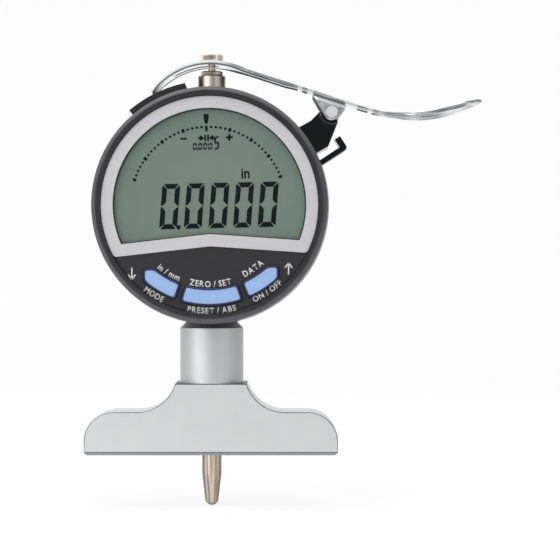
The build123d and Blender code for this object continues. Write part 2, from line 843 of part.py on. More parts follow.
# Swivel retainer: holds the display on the hub of the case
with BuildPart() as swivel_retainer:
    with BuildSketch(dial_plane(hub_end_y)):
        Circle(retainer_radius)
        Circle(hub_bore_radius, mode=Mode.SUBTRACT)
        with Locations(*retainer_screw_spots):
            Circle(retainer_screw_diameter / 2 + fit, mode=Mode.SUBTRACT)
    extrude(amount=retainer_thickness)

with BuildPart() as retainer_screws:
    with BuildSketch(dial_plane(hub_end_y - retainer_thickness)):
        with Locations(*retainer_screw_spots):
            Circle(retainer_screw_head_diameter / 2)
    extrude(amount=retainer_screw_head_height)
    with BuildSketch(dial_plane(hub_end_y - retainer_thickness)):
        with Locations(*retainer_screw_spots):
            Circle(retainer_screw_diameter / 2)
    extrude(amount=-retainer_screw_length)

# Bezel: the display's round housing, bevelled at the front, with a ledge for frame and panel
display_screw_spots = [on_dial(display_screw_circle, angle) for angle in (90, 210, 330)]
with BuildPart() as bezel:
    with BuildSketch(Plane.XY.offset(dial_height)):
        with BuildLine():
            Polyline(
                (bezel_bore, display_back_y),
                (bezel_radius, display_back_y),
                (bezel_front_radius, bezel_front_y + bezel_bevel_rise),
                (bezel_front_radius - bezel_bevel, bezel_front_y),
                (bezel_lip_radius, bezel_front_y),
                (bezel_lip_radius, ledge_y),
                (bezel_ledge_radius, ledge_y),
                (bezel_ledge_radius, post_end_y),
                (bezel_bore, post_end_y),
                close=True,
            )
        make_face()
    revolve(axis=Axis((0, 0, dial_height), (0, 1, 0)))
    with BuildSketch(dial_plane(display_floor_y, display_turn)):
        with Locations(*display_screw_spots):
            Circle(display_post_diameter / 2)
    extrude(amount=display_floor_y - post_end_y)
    with Locations(rear_plane(display_floor_y, display_turn)):
        with Locations(*from_behind(display_screw_spots)):
            Hole(
                radius=display_screw_diameter / 2 + fit,
                depth=display_screw_length - display_back_thickness + fit,
            )

# Display back: the disc that closes the display and turns on the hub
with BuildPart() as display_back:
    with BuildSketch(dial_plane(display_back_y, display_turn)):
        Circle(bezel_bore - fit)
        Circle(hub_radius + swivel_fit, mode=Mode.SUBTRACT)
    extrude(amount=display_back_thickness)
    with Locations(rear_plane(display_back_y, display_turn)):
        with Locations(*from_behind(display_screw_spots)):
            CounterSinkHole(
                radius=display_screw_diameter / 2 + fit,
                counter_sink_radius=display_screw_head_diameter / 2 + fit,
                counter_sink_angle=90,
            )

display_head_height = (display_screw_head_diameter - display_screw_diameter) / 2
with BuildPart() as display_screws:
    with BuildSketch(dial_plane(display_back_y, display_turn)):
        with Locations(*display_screw_spots):
            Circle(display_screw_head_diameter / 2)
    extrude(amount=display_head_height, taper=45)
    with BuildSketch(dial_plane(display_back_y - display_head_height, display_turn)):
        with Locations(*display_screw_spots):
            Circle(display_screw_diameter / 2)
    extrude(amount=display_screw_length - display_head_height)


# Window frame, face panel, lens and liquid-crystal panel share one chevron outline
def above_chevron(apex, drop, span):
    """The outline of everything above a flat V that points up at the middle of the dial."""
    foot = apex - drop * reach / span
    return [(0, apex), (reach, foot), (reach, reach), (-reach, reach), (-reach, foot)]


def below_chevron(apex, drop, span):
    """The outline of everything below the same V."""
    foot = apex - drop * reach / span
    return [(0, apex), (-reach, foot), (-reach, -reach), (reach, -reach), (reach, foot)]


with BuildPart() as window_frame:
    with BuildSketch(dial_plane(frame_y, display_turn)) as window_frame_sketch:
        Circle(frame_outer_radius)
        Polygon(*above_chevron(panel_apex, panel_drop, panel_span), align=None, mode=Mode.INTERSECT)
        fillet(window_frame_sketch.vertices().sort_by(Axis.Y)[:2], radius=frame_corner)
        with BuildSketch(mode=Mode.SUBTRACT):
            Circle(frame_inner_radius)
            Polygon(*above_chevron(window_apex, window_drop, window_span), align=None, mode=Mode.INTERSECT)
    extrude(amount=frame_y - ledge_y)

with BuildPart() as window_lens:
    with BuildSketch(dial_plane(lens_y, display_turn)):
        Circle(frame_inner_radius - lens_gap)
        lens_outline = above_chevron(window_apex + lens_gap, window_drop, window_span)
        Polygon(*lens_outline, align=None, mode=Mode.INTERSECT)
    extrude(amount=-lens_thickness)

with BuildPart() as lcd_panel:
    with BuildSketch(dial_plane(lcd_y, display_turn)):
        Circle(lcd_radius)
        Polygon(*above_chevron(window_apex - lcd_overlap, 0, window_span), align=None, mode=Mode.INTERSECT)
    extrude(amount=-lcd_thickness)

with BuildPart() as lcd_holder:
    with BuildSketch(dial_plane(holder_y, display_turn)):
        Circle(bezel_bore - seat_gap)
        Circle(lcd_radius - holder_window_inset, mode=Mode.SUBTRACT)
        Polygon(*above_chevron(window_apex - lcd_overlap, 0, window_span), align=None, mode=Mode.INTERSECT)
        with Locations(*display_screw_spots):
            Circle(display_post_diameter / 2 + display_post_clearance, mode=Mode.SUBTRACT)
    extrude(amount=-holder_thickness)


# Push buttons: three keys that follow the lower edge of the dial
def wedge(first, last):
    """A wedge from the dial's middle between two angles, measured from straight down."""
    return [
        (0, 0),
        (reach * sin(radians(first)), -reach * cos(radians(first))),
        (reach * sin(radians(last)), -reach * cos(radians(last))),
    ]


def button_outline(side, growth):
    """A key's outline on the dial: side -1 is left, 0 centre and 1 right; growth widens it all round."""
    with BuildSketch(Plane.XY, mode=Mode.PRIVATE) as outline:
        Circle(button_outer_radius)
        Circle(button_inner_radius, mode=Mode.SUBTRACT)
        if side == 0:
            Polygon(*wedge(-button_half_angle, button_half_angle), align=None, mode=Mode.INTERSECT)
        else:
            Polygon(*wedge(side * button_side_angle, side * button_side_end), align=None, mode=Mode.INTERSECT)
            with Locations((side * button_side_limit / 2, button_top_limit - button_side_depth / 2)):
                Rectangle(button_side_limit, button_side_depth, mode=Mode.INTERSECT)
        fillet(outline.vertices(), button_corner)
        if growth:
            offset(amount=growth)
    return outline.sketch


def button_centre(side):
    """Where a key's stem stands on the dial."""
    middle = side * button_stem_angle
    radius = (button_inner_radius + button_outer_radius) / 2
    return (radius * sin(radians(middle)), -radius * cos(radians(middle)))


def key_button(side):
    """A key with a flange behind the panel and a stem that reaches its switch."""
    with BuildPart() as key:
        with BuildSketch(dial_plane(button_y, display_turn)):
            add(button_outline(side, 0))
        extrude(amount=button_y - button_flange_y - button_flange_thickness)
        with BuildSketch(dial_plane(button_flange_y, display_turn)):
            add(button_outline(side, button_flange))
        extrude(amount=-button_flange_thickness)
        with BuildSketch(dial_plane(button_flange_y, display_turn)):
            with Locations(button_centre(side)):
                Circle(button_stem_diameter / 2)
        extrude(amount=button_flange_y - button_end_y)
        chamfer(key.faces().sort_by(Axis.Y)[0].edges(), button_edge_chamfer)
    return key.part


sides = {"left_button": -1, "centre_button": 0, "right_button": 1}
buttons = {name: key_button(side) for name, side in sides.items()}

with BuildPart() as face_panel:
    with BuildSketch(dial_plane(panel_y, display_turn)):
        Circle(frame_outer_radius)
        panel_outline = below_chevron(panel_apex - panel_gap, panel_drop, panel_span)
        Polygon(*panel_outline, align=None, mode=Mode.INTERSECT)
        for side in sides.values():
            add(button_outline(side, button_play), mode=Mode.SUBTRACT)
    extrude(amount=panel_y - ledge_y)

# Display board with its switches, and the two contact strips that feed the display
with BuildPart() as display_board:
    with BuildSketch(dial_plane(board_y, display_turn)):
        Circle(board_radius)
        with Locations(*display_screw_spots):
            Circle(display_post_diameter / 2 + display_post_clearance, mode=Mode.SUBTRACT)
    extrude(amount=-board_thickness)

with BuildPart() as switch_domes:
    for side in sides.values():
        with BuildSketch(dial_plane(board_y, display_turn)):
            with Locations(button_centre(side)):
                Circle(dome_diameter / 2)
        extrude(amount=dome_height, taper=45)

with BuildPart() as contact_strips:
    with BuildSketch(dial_plane(board_y, display_turn)):
        with Locations((0, window_apex - lcd_overlap + strip_width), (0, lcd_radius - holder_window_inset)):
            Rectangle(strip_length, strip_width)
    extrude(amount=board_y - holder_y - holder_thickness)

# Data connector: a flat five-pin socket in the rim
connector_mouth = case_radius - connector_setback
connector_floor = connector_mouth - connector_socket_depth
with BuildPart() as data_connector:
    with BuildSketch(rim_plane(connector_angle, case_radius - connector_height)):
        Rectangle(connector_width, connector_depth)
    extrude(amount=connector_height - connector_setback)
    with BuildSketch(rim_plane(connector_angle, connector_mouth)):
        Rectangle(connector_width - 2 * connector_shell, connector_depth - 2 * connector_shell)
    extrude(amount=-connector_socket_depth, mode=Mode.SUBTRACT)
    with BuildSketch(rim_plane(connector_angle, connector_floor)):
        with GridLocations(connector_pin_pitch, 1, connector_pins, 1):
            Circle(connector_pin_diameter / 2)
    extrude(amount=connector_pin_length)

# Connector cap: a curved rubber plug with a pull tab
cap_seat = case_radius + bracket_seat_gap
cap_step = cap_radius - cap_tab_thickness
with BuildPart() as connector_cap:
    with BuildSketch(dial_plane(-cap_depth / 2)):
        with BuildLine():
            CenterArc((0, 0), cap_radius, cap_start_angle, cap_tab_angle - cap_start_angle)
            CenterArc((0, 0), cap_step, cap_end_angle, cap_tab_angle - cap_end_angle)
            CenterArc((0, 0), cap_seat, cap_start_angle, cap_end_angle - cap_start_angle)
            Line(on_dial(cap_seat, cap_start_angle), on_dial(cap_radius, cap_start_angle))
            Line(on_dial(cap_seat, cap_end_angle), on_dial(cap_step, cap_end_angle))
            Line(on_dial(cap_step, cap_tab_angle), on_dial(cap_radius, cap_tab_angle))
        make_face()
    extrude(amount=-cap_depth)
    with BuildSketch(rim_plane(connector_angle, cap_seat + cap_plug_root)):
        Rectangle(cap_plug_width, cap_plug_depth)
    extrude(amount=-cap_plug_root - cap_plug_height)

# Lever bracket: a plastic block on the rim with a tongue for the pivot and a small hook
pivot_spot = on_dial(pivot_radius, pivot_angle)
block_outline = [
    on_dial(case_radius - bracket_root, bracket_start_angle),
    on_dial(case_radius + bracket_toe_rise, bracket_toe_angle),
    on_dial(case_radius + bracket_step_rise, bracket_step_angle),
    on_dial(case_radius + bracket_top_rise, bracket_top_angle),
    on_dial(case_radius + bracket_front_rise, bracket_front_angle),
    on_dial(case_radius + bracket_foot_rise, bracket_foot_angle),
    on_dial(case_radius - bracket_root, bracket_end_angle),
]
tongue_depth = lever_width - 2 * lever_thickness - 2 * bracket_tongue_gap
hook_plane = Plane(
    origin=dial_plane(-hook_depth / 2).from_local_coords(on_dial(case_radius + hook_standoff, hook_angle)),
    x_dir=(cos(radians(hook_lean)), 0, sin(radians(hook_lean))),
    z_dir=(0, -1, 0),
)
with BuildPart() as lever_bracket:
    with BuildSketch(dial_plane(-bracket_depth / 2)):
        Polygon(*block_outline, align=None)
        with Locations(pivot_spot):
            Circle(ear_radius + bracket_recess_gap, mode=Mode.SUBTRACT)
    extrude(amount=-bracket_depth)
    with BuildSketch(dial_plane(-tongue_depth / 2)):
        with Locations(Location((*pivot_spot, 0), (0, 0, -bracket_tongue_lean))):
            Circle(bracket_tongue_radius)
            Rectangle(2 * bracket_tongue_radius, bracket_tongue_length, align=(Align.CENTER, Align.MAX))
    extrude(amount=-tongue_depth)
    with BuildSketch(hook_plane) as hook_profile:
        Rectangle(hook_length, hook_thickness, align=(Align.MAX, Align.MIN))
        Rectangle(hook_tip_thickness, hook_tip_height, align=(Align.MAX, Align.MIN))
        fillet(hook_profile.vertices().sort_by_distance(hook_plane.origin)[:1], hook_fillet)
    extrude(amount=-hook_depth)
    with BuildSketch(dial_plane(-bracket_depth / 2)):
        Circle(case_radius + bracket_seat_gap)
    extrude(amount=-bracket_depth, mode=Mode.SUBTRACT)
    with Locations(Plane(origin=(pivot_x, 0, pivot_z), z_dir=(0, -1, 0))):
        Hole(radius=pivot_pin_diameter / 2 + fit)
    for y in (-bracket_screw_spacing / 2, bracket_screw_spacing / 2):
        with BuildSketch(rim_plane(bracket_screw_angle, case_radius, y)):
            Circle(bracket_screw_diameter / 2 + fit)
        extrude(amount=bracket_screw_length - case_wall + fit, mode=Mode.SUBTRACT)

with BuildPart() as bracket_screws:
    for y in (-bracket_screw_spacing / 2, bracket_screw_spacing / 2):
        with BuildSketch(rim_plane(bracket_screw_angle, case_inner_radius - seat_gap, y)):
            Circle(bracket_screw_head_diameter / 2)
        extrude(amount=-bracket_screw_head_height)
        with BuildSketch(rim_plane(bracket_screw_angle, case_inner_radius - seat_gap, y)):
            Circle(bracket_screw_diameter / 2)
        extrude(amount=bracket_screw_length)

# Pivot pin: a headed pin through the lever's ears and the bracket's tongue
with BuildPart() as pivot_pin:
    with BuildSketch(Plane.XZ.offset(lever_width / 2 + seat_gap / 2)):
        with Locations((pivot_x, pivot_z)):
            Circle(pivot_head_diameter / 2)
    extrude(amount=pivot_head_height)
    with BuildSketch(Plane.XZ.offset(lever_width / 2 + seat_gap / 2)):
        with Locations((pivot_x, pivot_z)):
            Circle(pivot_pin_diameter / 2)
    extrude(amount=-lever_width - seat_gap)
    with BuildSketch(Plane.XZ.offset(-lever_width / 2 - seat_gap / 2)):
        with Locations((pivot_x, pivot_z)):
            Circle(pivot_head_diameter / 2)
    extrude(amount=-pivot_head_height)

# Lifting lever: a chrome-plated steel stamping with a slotted tail, two ears and a dished pad
crown_top = knob_head_foot - lever_knob_gap
crown_z = crown_top - lever_crown_radius
lever_foot = crown_z - lever_crown_radius
tail = radians(lever_tail_angle)
slope = radians(lever_slope)
with BuildPart() as lifting_lever:
    with BuildSketch(Plane.XZ):
        with BuildLine():
            crown = JernArc(
                (lever_crown_x - lever_crown_radius * sin(tail), crown_z + lever_crown_radius * cos(tail)),
                (cos(tail), sin(tail)),
                lever_crown_radius,
                -(lever_tail_angle + lever_slope),
            )
            arm = PolarLine(crown @ 1, lever_arm_length, direction=crown % 1)
            pad_curve = JernArc(arm @ 1, arm % 1, lever_pad_radius, lever_slope + lever_pad_rise)
            pad_end = PolarLine(pad_curve @ 1, lever_pad_tail, direction=pad_curve % 1)
            offset(amount=lever_thickness, side=Side.RIGHT)
        make_face()
    extrude(amount=lever_pad_width / 2, both=True)
    pad_tip_x = (pad_end @ 1).X
    pad_start = (arm @ 1).X + lever_pad_neck
    pad_full = pad_start + lever_pad_flare
    with BuildSketch(Plane.XY.offset(lever_foot)):
        with BuildLine():
            tail_x = lever_crown_x - lever_crown_radius * sin(tail) - lever_thickness
            Polyline(
                (tail_x, 0),
                (tail_x, lever_eye_width / 2),
                (lever_eye_end, lever_eye_width / 2),
                (lever_eye_end + lever_eye_taper, lever_width / 2),
                (pad_start, lever_width / 2),
                (pad_full, lever_pad_width / 2),
                (pad_tip_x - lever_pad_width / 2, lever_pad_width / 2),
            )
            CenterArc((pad_tip_x - lever_pad_width / 2, 0), lever_pad_width / 2, 0, 90)
            mirror(about=Plane.XZ)
        make_face()
        with Locations(((lever_slot_left + lever_slot_right) / 2, 0)):
            SlotOverall(lever_slot_right - lever_slot_left, lever_slot_width, mode=Mode.SUBTRACT)
    extrude(amount=reach, mode=Mode.INTERSECT)
    for y in (-1, 1):
        front = y * (lever_width / 2 - lever_thickness / 2)
        with BuildSketch(Plane.XZ.offset(front - lever_thickness / 2)):
            ear_line = tan(slope)
            start = arm @ 0
            left_z = start.Y - (ear_left - start.X) * ear_line
            right_z = start.Y - (ear_right - start.X) * ear_line
            with BuildLine():
                drop = lever_thickness / 2
                foot = ear_radius * cos(radians(ear_shoulder_angle))
                rise = ear_radius * sin(radians(ear_shoulder_angle))
                Polyline(
                    (pivot_x - foot, pivot_z - rise),
                    (ear_left, left_z - drop - lever_thickness),
                    (ear_left, left_z - drop),
                    (ear_right, right_z - drop),
                    (ear_right, right_z - drop - lever_thickness),
                    (pivot_x + foot, pivot_z - rise),
                )
                RadiusArc(
                    (pivot_x - foot, pivot_z - rise), (pivot_x + foot, pivot_z - rise), ear_radius, short_sagitta=True
                )
            make_face()
            with Locations((pivot_x, pivot_z)):
                Circle(pivot_pin_diameter / 2 + pivot_fit, mode=Mode.SUBTRACT)
        extrude(amount=lever_thickness)

pieces = {
    "depth_base": depth_base.part,
    "collar": collar.part,
    "collar_screw": collar_screw.part,
    "stem": stem.part,
    "lower_bush": lower_bush.part,
    "upper_bush": upper_bush.part,
    "spindle": spindle.part,
    "contact_point": contact_point.part,
    "lifting_knob": lifting_knob.part,
    "rear_case": rear_case.part,
    "back_cover": back_cover.part,
    "cover_screws": cover_screws.part,
    "battery_cap": battery_cap.part,
    "battery": battery.part,
    "battery_well": battery_well.part,
    "battery_contact": battery_contact.part,
    "scale_carrier": scale_carrier.part,
    "encoder_scale": encoder_scale.part,
    "guide_pin": guide_pin.part,
    "guide_rail": guide_rail.part,
    "rail_screws": rail_screws.part,
    "sensor_board": sensor_board.part,
    "read_head": read_head.part,
    "main_board": main_board.part,
    "return_spring": return_spring.part,
    "swivel_retainer": swivel_retainer.part,
    "retainer_screws": retainer_screws.part,
    "bezel": bezel.part,
    "display_back": display_back.part,
    "display_screws": display_screws.part,
    "window_frame": window_frame.part,
    "window_lens": window_lens.part,
    "lcd_panel": lcd_panel.part,
    "lcd_holder": lcd_holder.part,
    "face_panel": face_panel.part,
    "display_board": display_board.part,
    "switch_domes": switch_domes.part,
    "contact_strips": contact_strips.part,
    "data_connector": data_connector.part,
    "connector_cap": connector_cap.part,
    "lever_bracket": lever_bracket.part,
    "bracket_screws": bracket_screws.part,
    "pivot_pin": pivot_pin.part,
    "lifting_lever": lifting_lever.part,
    **buttons,
}

os.makedirs("parts", exist_ok=True)
for name, piece in pieces.items():
    piece.label = name
    export_step(piece, f"parts/{name}.step")
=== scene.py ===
import json
import logging
import math
from dataclasses import dataclass, field
from enum import Enum
from typing import Any, Callable, Iterable, Optional, Sequence, Union

import bmesh
import bpy
from mathutils import Matrix, Vector


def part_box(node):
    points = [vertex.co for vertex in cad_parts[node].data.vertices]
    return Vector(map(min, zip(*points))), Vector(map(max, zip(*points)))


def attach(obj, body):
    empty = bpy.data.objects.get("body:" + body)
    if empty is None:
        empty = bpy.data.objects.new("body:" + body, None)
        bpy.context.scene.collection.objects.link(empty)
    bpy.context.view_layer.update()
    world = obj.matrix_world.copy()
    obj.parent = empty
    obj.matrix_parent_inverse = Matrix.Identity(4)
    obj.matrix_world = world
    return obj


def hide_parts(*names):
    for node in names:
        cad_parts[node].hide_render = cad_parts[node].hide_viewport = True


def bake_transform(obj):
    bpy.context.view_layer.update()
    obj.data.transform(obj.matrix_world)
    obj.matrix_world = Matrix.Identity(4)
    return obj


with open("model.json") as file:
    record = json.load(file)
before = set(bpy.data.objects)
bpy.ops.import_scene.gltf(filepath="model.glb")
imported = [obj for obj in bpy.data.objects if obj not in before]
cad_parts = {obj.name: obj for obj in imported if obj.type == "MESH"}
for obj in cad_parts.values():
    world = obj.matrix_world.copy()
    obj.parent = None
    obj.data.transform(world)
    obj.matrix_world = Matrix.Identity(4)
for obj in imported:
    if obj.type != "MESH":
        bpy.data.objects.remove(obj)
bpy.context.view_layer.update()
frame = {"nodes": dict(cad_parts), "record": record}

log = logging.getLogger("depth_gauge")

Number = Union[int, float]
Colour = tuple[float, float, float]
Point = tuple[float, float]

DIAL_HEIGHT = 0.06225
DISPLAY_TURN = 1.3


# ---------------------------------------------------------------- shader graph


class Value:
    """A number that varies over a surface, with the operators that shader maths needs."""

    def __init__(self, graph: "Nodes", socket: bpy.types.NodeSocket) -> None:
        """Wraps an output socket.

        Args:
            graph: the material graph that the socket belongs to.
            socket: the output socket that carries the number.
        """
        self.graph = graph
        self.socket = socket

    def math(self, operation: str, *others: Union["Value", Number], clamp: bool = False) -> "Value":
        """Adds a Math node that works on this value.

        Args:
            operation: the node's operation, such as "ADD".
            others: its other operands.
            clamp: whether the result is kept between 0 and 1.

        Returns:
            The node's result.
        """
        node = self.graph.node(
            "ShaderNodeMath", {"operation": operation, "use_clamp": clamp}, dict(enumerate((self, *others)))
        )
        return Value(self.graph, node.outputs[0])

    def __add__(self, other: Union["Value", Number]) -> "Value":
        """This value plus another."""
        return self.math("ADD", other)

    __radd__ = __add__

    def __sub__(self, other: Union["Value", Number]) -> "Value":
        """This value minus another."""
        return self.math("SUBTRACT", other)

    def __rsub__(self, other: Number) -> "Value":
        """A number minus this value."""
        return (self * -1).math("ADD", other)

    def __mul__(self, other: Union["Value", Number]) -> "Value":
        """This value times another."""
        return self.math("MULTIPLY", other)

    __rmul__ = __mul__

    def __truediv__(self, other: Union["Value", Number]) -> "Value":
        """This value divided by another."""
        return self.math("DIVIDE", other)

    def ramp(self, low: float, high: float, out_low: float = 0.0, out_high: float = 1.0) -> "Value":
        """Maps a range of this value smoothly onto another range.

        Args:
            low: the value that becomes out_low.
            high: the value that becomes out_high.
            out_low: the result at the low end.
            out_high: the result at the high end.

        Returns:
            The mapped value.
        """
        node = self.graph.node(
            "ShaderNodeMapRange",
            {"interpolation_type": "SMOOTHSTEP"},
            {"Value": self, "From Min": low, "From Max": high, "To Min": out_low, "To Max": out_high},
        )
        return Value(self.graph, node.outputs[0])


class Nodes:
    """A node tree that is emptied and filled by one method."""

    def __init__(self, owner: Union[bpy.types.Material, bpy.types.World]) -> None:
        """Empties the owner's tree.

        Args:
            owner: the material or world that the nodes are for.
        """
        owner.use_nodes = True
        self.tree = owner.node_tree
        self.tree.nodes.clear()

    def join(self, source: bpy.types.NodeSocket, target: bpy.types.NodeSocket) -> None:
        """Links one socket to another."""
        self.tree.links.new(source, target)

    def node(
        self, kind: str, settings: Optional[dict[str, Any]] = None, inputs: Optional[dict[Any, Any]] = None
    ) -> bpy.types.Node:
        """Adds a node.

        Args:
            kind: the node's type name.
            settings: properties of the node, set before its sockets; "stops" holds a ramp's stops.
            inputs: values, sockets or Value objects by input name or number.

        Returns:
            The new node.
        """
        made = self.tree.nodes.new(kind)
        for key, value in (settings or {}).items():
            if key == "stops":
                self.set_stops(made.color_ramp, value)
            else:
                setattr(made, key, value)
        for key, value in (inputs or {}).items():
            self.feed(made.inputs[key], value)
        return made

    def feed(self, target: bpy.types.NodeSocket, value: Any) -> None:
        """Gives an input its link or its plain value."""
        if isinstance(value, Value):
            self.join(value.socket, target)
        elif isinstance(value, bpy.types.NodeSocket):
            self.join(value, target)
        else:
            target.default_value = (*value, 1.0) if target.type == "RGBA" else value

    @staticmethod
    def set_stops(ramp: bpy.types.ColorRamp, stops: Sequence[tuple[float, Colour]]) -> None:
        """Sets the stops of a colour ramp.

        Args:
            ramp: the ramp to change.
            stops: places along the ramp with their colours, lowest first.
        """
        while len(ramp.elements) < len(stops):
            ramp.elements.new(1.0)
        for element, (place, colour) in zip(ramp.elements, stops):
            element.position = place
            element.color = (*colour, 1.0)

    def mix(self, factor: Any, first: Any, second: Any) -> bpy.types.NodeSocket:
        """Mixes two colours.

        Args:
            factor: 0 gives the first colour and 1 the second.
            first: a colour or a colour socket.
            second: a colour or a colour socket.

        Returns:
            The mixed colour.
        """
        made = self.node("ShaderNodeMix", {"data_type": "RGBA"})
        self.feed(made.inputs[0], factor)
        self.feed(made.inputs[6], first)
        self.feed(made.inputs[7], second)
        return made.outputs[2]

    def value(self, made: bpy.types.Node, output: Union[int, str] = 0) -> Value:
        """One output of a node, as a value."""
        return Value(self, made.outputs[output])


class Graph(Nodes):
    """The node tree of one material, with its Principled shader."""

    def __init__(self, name: str) -> None:
        """Starts an empty material.

        Args:
            name: the material's name.
        """
        self.material = bpy.data.materials.new(name)
        super().__init__(self.material)
        self.output = self.node("ShaderNodeOutputMaterial")
        self.shader = self.node("ShaderNodeBsdfPrincipled")
        self.join(self.shader.outputs[0], self.output.inputs["Surface"])

    def place(self, stretch: Sequence[float] = (1, 1, 1), shift: Sequence[float] = (0, 0, 0)) -> bpy.types.NodeSocket:
        """Object coordinates in millimetres.

        Args:
            stretch: how many pattern units each millimetre holds, by axis.
            shift: what is added after the stretch.

        Returns:
            The vector socket.
        """
        at = self.node("ShaderNodeTexCoord").outputs["Object"]
        scale = [1000.0 * s for s in stretch]
        return self.node("ShaderNodeMapping", None, {"Vector": at, "Scale": scale, "Location": shift}).outputs[0]

    def axes(self) -> tuple[Value, Value, Value]:
        """Object coordinates in millimetres, as three values."""
        parts = self.node("ShaderNodeSeparateXYZ", None, {0: self.place()}).outputs
        return Value(self, parts[0]), Value(self, parts[1]), Value(self, parts[2])

    def dial_axes(self) -> tuple[Value, Value]:
        """Millimetres across and up the turned display, from the dial's middle."""
        x, _, z = self.axes()
        up = z - DIAL_HEIGHT * 1000
        c, s = math.cos(math.radians(DISPLAY_TURN)), math.sin(math.radians(DISPLAY_TURN))
        return x * c + up * s, up * c - x * s

    def vector(self, x: Any, y: Any, z: Any) -> bpy.types.NodeSocket:
        """A vector made of three values."""
        return self.node("ShaderNodeCombineXYZ", None, {0: x, 1: y, 2: z}).outputs[0]

    def noise(self, vector: bpy.types.NodeSocket, scale: float, detail: float = 3.0, rough: float = 0.55) -> Value:
        """A noise pattern, around one half.

        Args:
            vector: where the pattern is read.
            scale: the pattern's frequency.
            detail: how many finer layers are added.
            rough: how strong the finer layers are.

        Returns:
            The noise value.
        """
        made = self.node(
            "ShaderNodeTexNoise", None, {"Vector": vector, "Scale": scale, "Detail": detail, "Roughness": rough}
        )
        return Value(self, made.outputs[0])

    def bump(self, height: Value, strength: float, distance: float) -> None:
        """Feeds the shader's normal from a height, whose depth is given in metres."""
        made = self.node("ShaderNodeBump", None, {"Strength": strength, "Distance": distance, "Height": height})
        self.join(made.outputs[0], self.shader.inputs["Normal"])

    def set(self, **inputs: Any) -> None:
        """Sets inputs of the Principled shader, with _ for a blank in their names."""
        for key, value in inputs.items():
            self.feed(self.shader.inputs[key.replace("_", " ").title().replace("Ior", "IOR")], value)


def shade(colour: Colour, factor: float) -> Colour:
    """A colour made lighter or darker by a factor."""
    return tuple(min(1.0, c * factor) for c in colour)


# ------------------------------------------------------------------- finishes


class Grain(Enum):
    """The way in which a metal surface was worked."""

    LENGTHWISE = "ground along X"
    TURNED = "turned about the spindle's axis"
    FACED = "faced about the dial's axis"
    CAST = "cast or tumbled"


@dataclass(frozen=True)
class Metal:
    """A bare or plated metal with the marks of its working, and where asked painted shade: dark streaks round its axis,
    darker flanks and a darker tip.
    """

    name: str
    colour: Colour
    roughness: float
    grain: Grain = Grain.CAST
    fineness: float = 8.0
    depth: float = 0.00001
    smudge: float = 0.06
    # The four fields below paint shade into the colour: dark streaks round the axis, darker flanks, a darker tip facing
    # down, and the colour of that shade.
    reflection_streaks: float = 0.0
    flank_shade: tuple[float, ...] = ()
    tip: float = 0.0
    painted_shade_colour: Colour = (0.20, 0.20, 0.21)

    def build(self) -> bpy.types.Material:
        """Makes the material: grain, faint colour drift, smudges in the gloss, and painted shade on its flanks and tip,
        with dark streaks that stand in for reflections.

        Returns:
            The finished material.
        """
        graph = Graph(self.name)
        x, y, z = graph.axes()
        if self.grain is Grain.LENGTHWISE:
            lines = graph.noise(graph.place((0.12, 1.0, 1.0)), self.fineness, 4)
        elif self.grain is Grain.TURNED:
            radius = (x * x + y * y).math("SQRT")
            lines = graph.noise(graph.vector(radius, 0.0, z), self.fineness, 2)
        elif self.grain is Grain.FACED:
            up = z - DIAL_HEIGHT * 1000
            radius = (x * x + up * up).math("SQRT")
            lines = graph.noise(graph.vector(radius, y, 0.0), self.fineness, 2)
        else:
            lines = graph.noise(graph.place(), self.fineness, 4)
        cloud = graph.noise(graph.place(shift=(3.1, 7.7, 1.3)), 0.16, 4, 0.6)
        drift = (lines - 0.5) * 0.35 + (cloud - 0.5) * 0.5 + 0.5
        tone = graph.mix(drift, shade(self.colour, 0.93), shade(self.colour, 1.06))
        # painted shade: dark streaks round the axis, and the sides towards ±X darkened where the round surface turns
        # away
        if self.flank_shade:
            radius = (x * x + y * y).math("SQRT")
            streaks = graph.noise(graph.vector(x / radius * 3.0, y / radius * 3.0, z * 0.03), 1.0, 3, 0.6)
            tone = graph.mix(streaks.ramp(0.44, 0.60) * self.reflection_streaks, tone, self.painted_shade_colour)
            tone = graph.mix((x.math("ABSOLUTE") / radius).ramp(*self.flank_shade), tone, self.painted_shade_colour)
        # painted shade: faces at the tip that point downwards are darkened
        if self.tip:
            facing = graph.node("ShaderNodeSeparateXYZ", None, {0: graph.node("ShaderNodeTexCoord").outputs["Normal"]})
            tone = graph.mix(graph.value(facing, 2).ramp(-0.95, -0.35, self.tip, 0.0), tone, self.painted_shade_colour)
        graph.set(
            base_color=tone,
            metallic=1.0,
            roughness=(cloud - 0.5) * (2.2 * self.smudge) + (lines - 0.5) * 0.08 + self.roughness,
        )
        graph.bump(lines, 0.35, self.depth)
        return graph.material


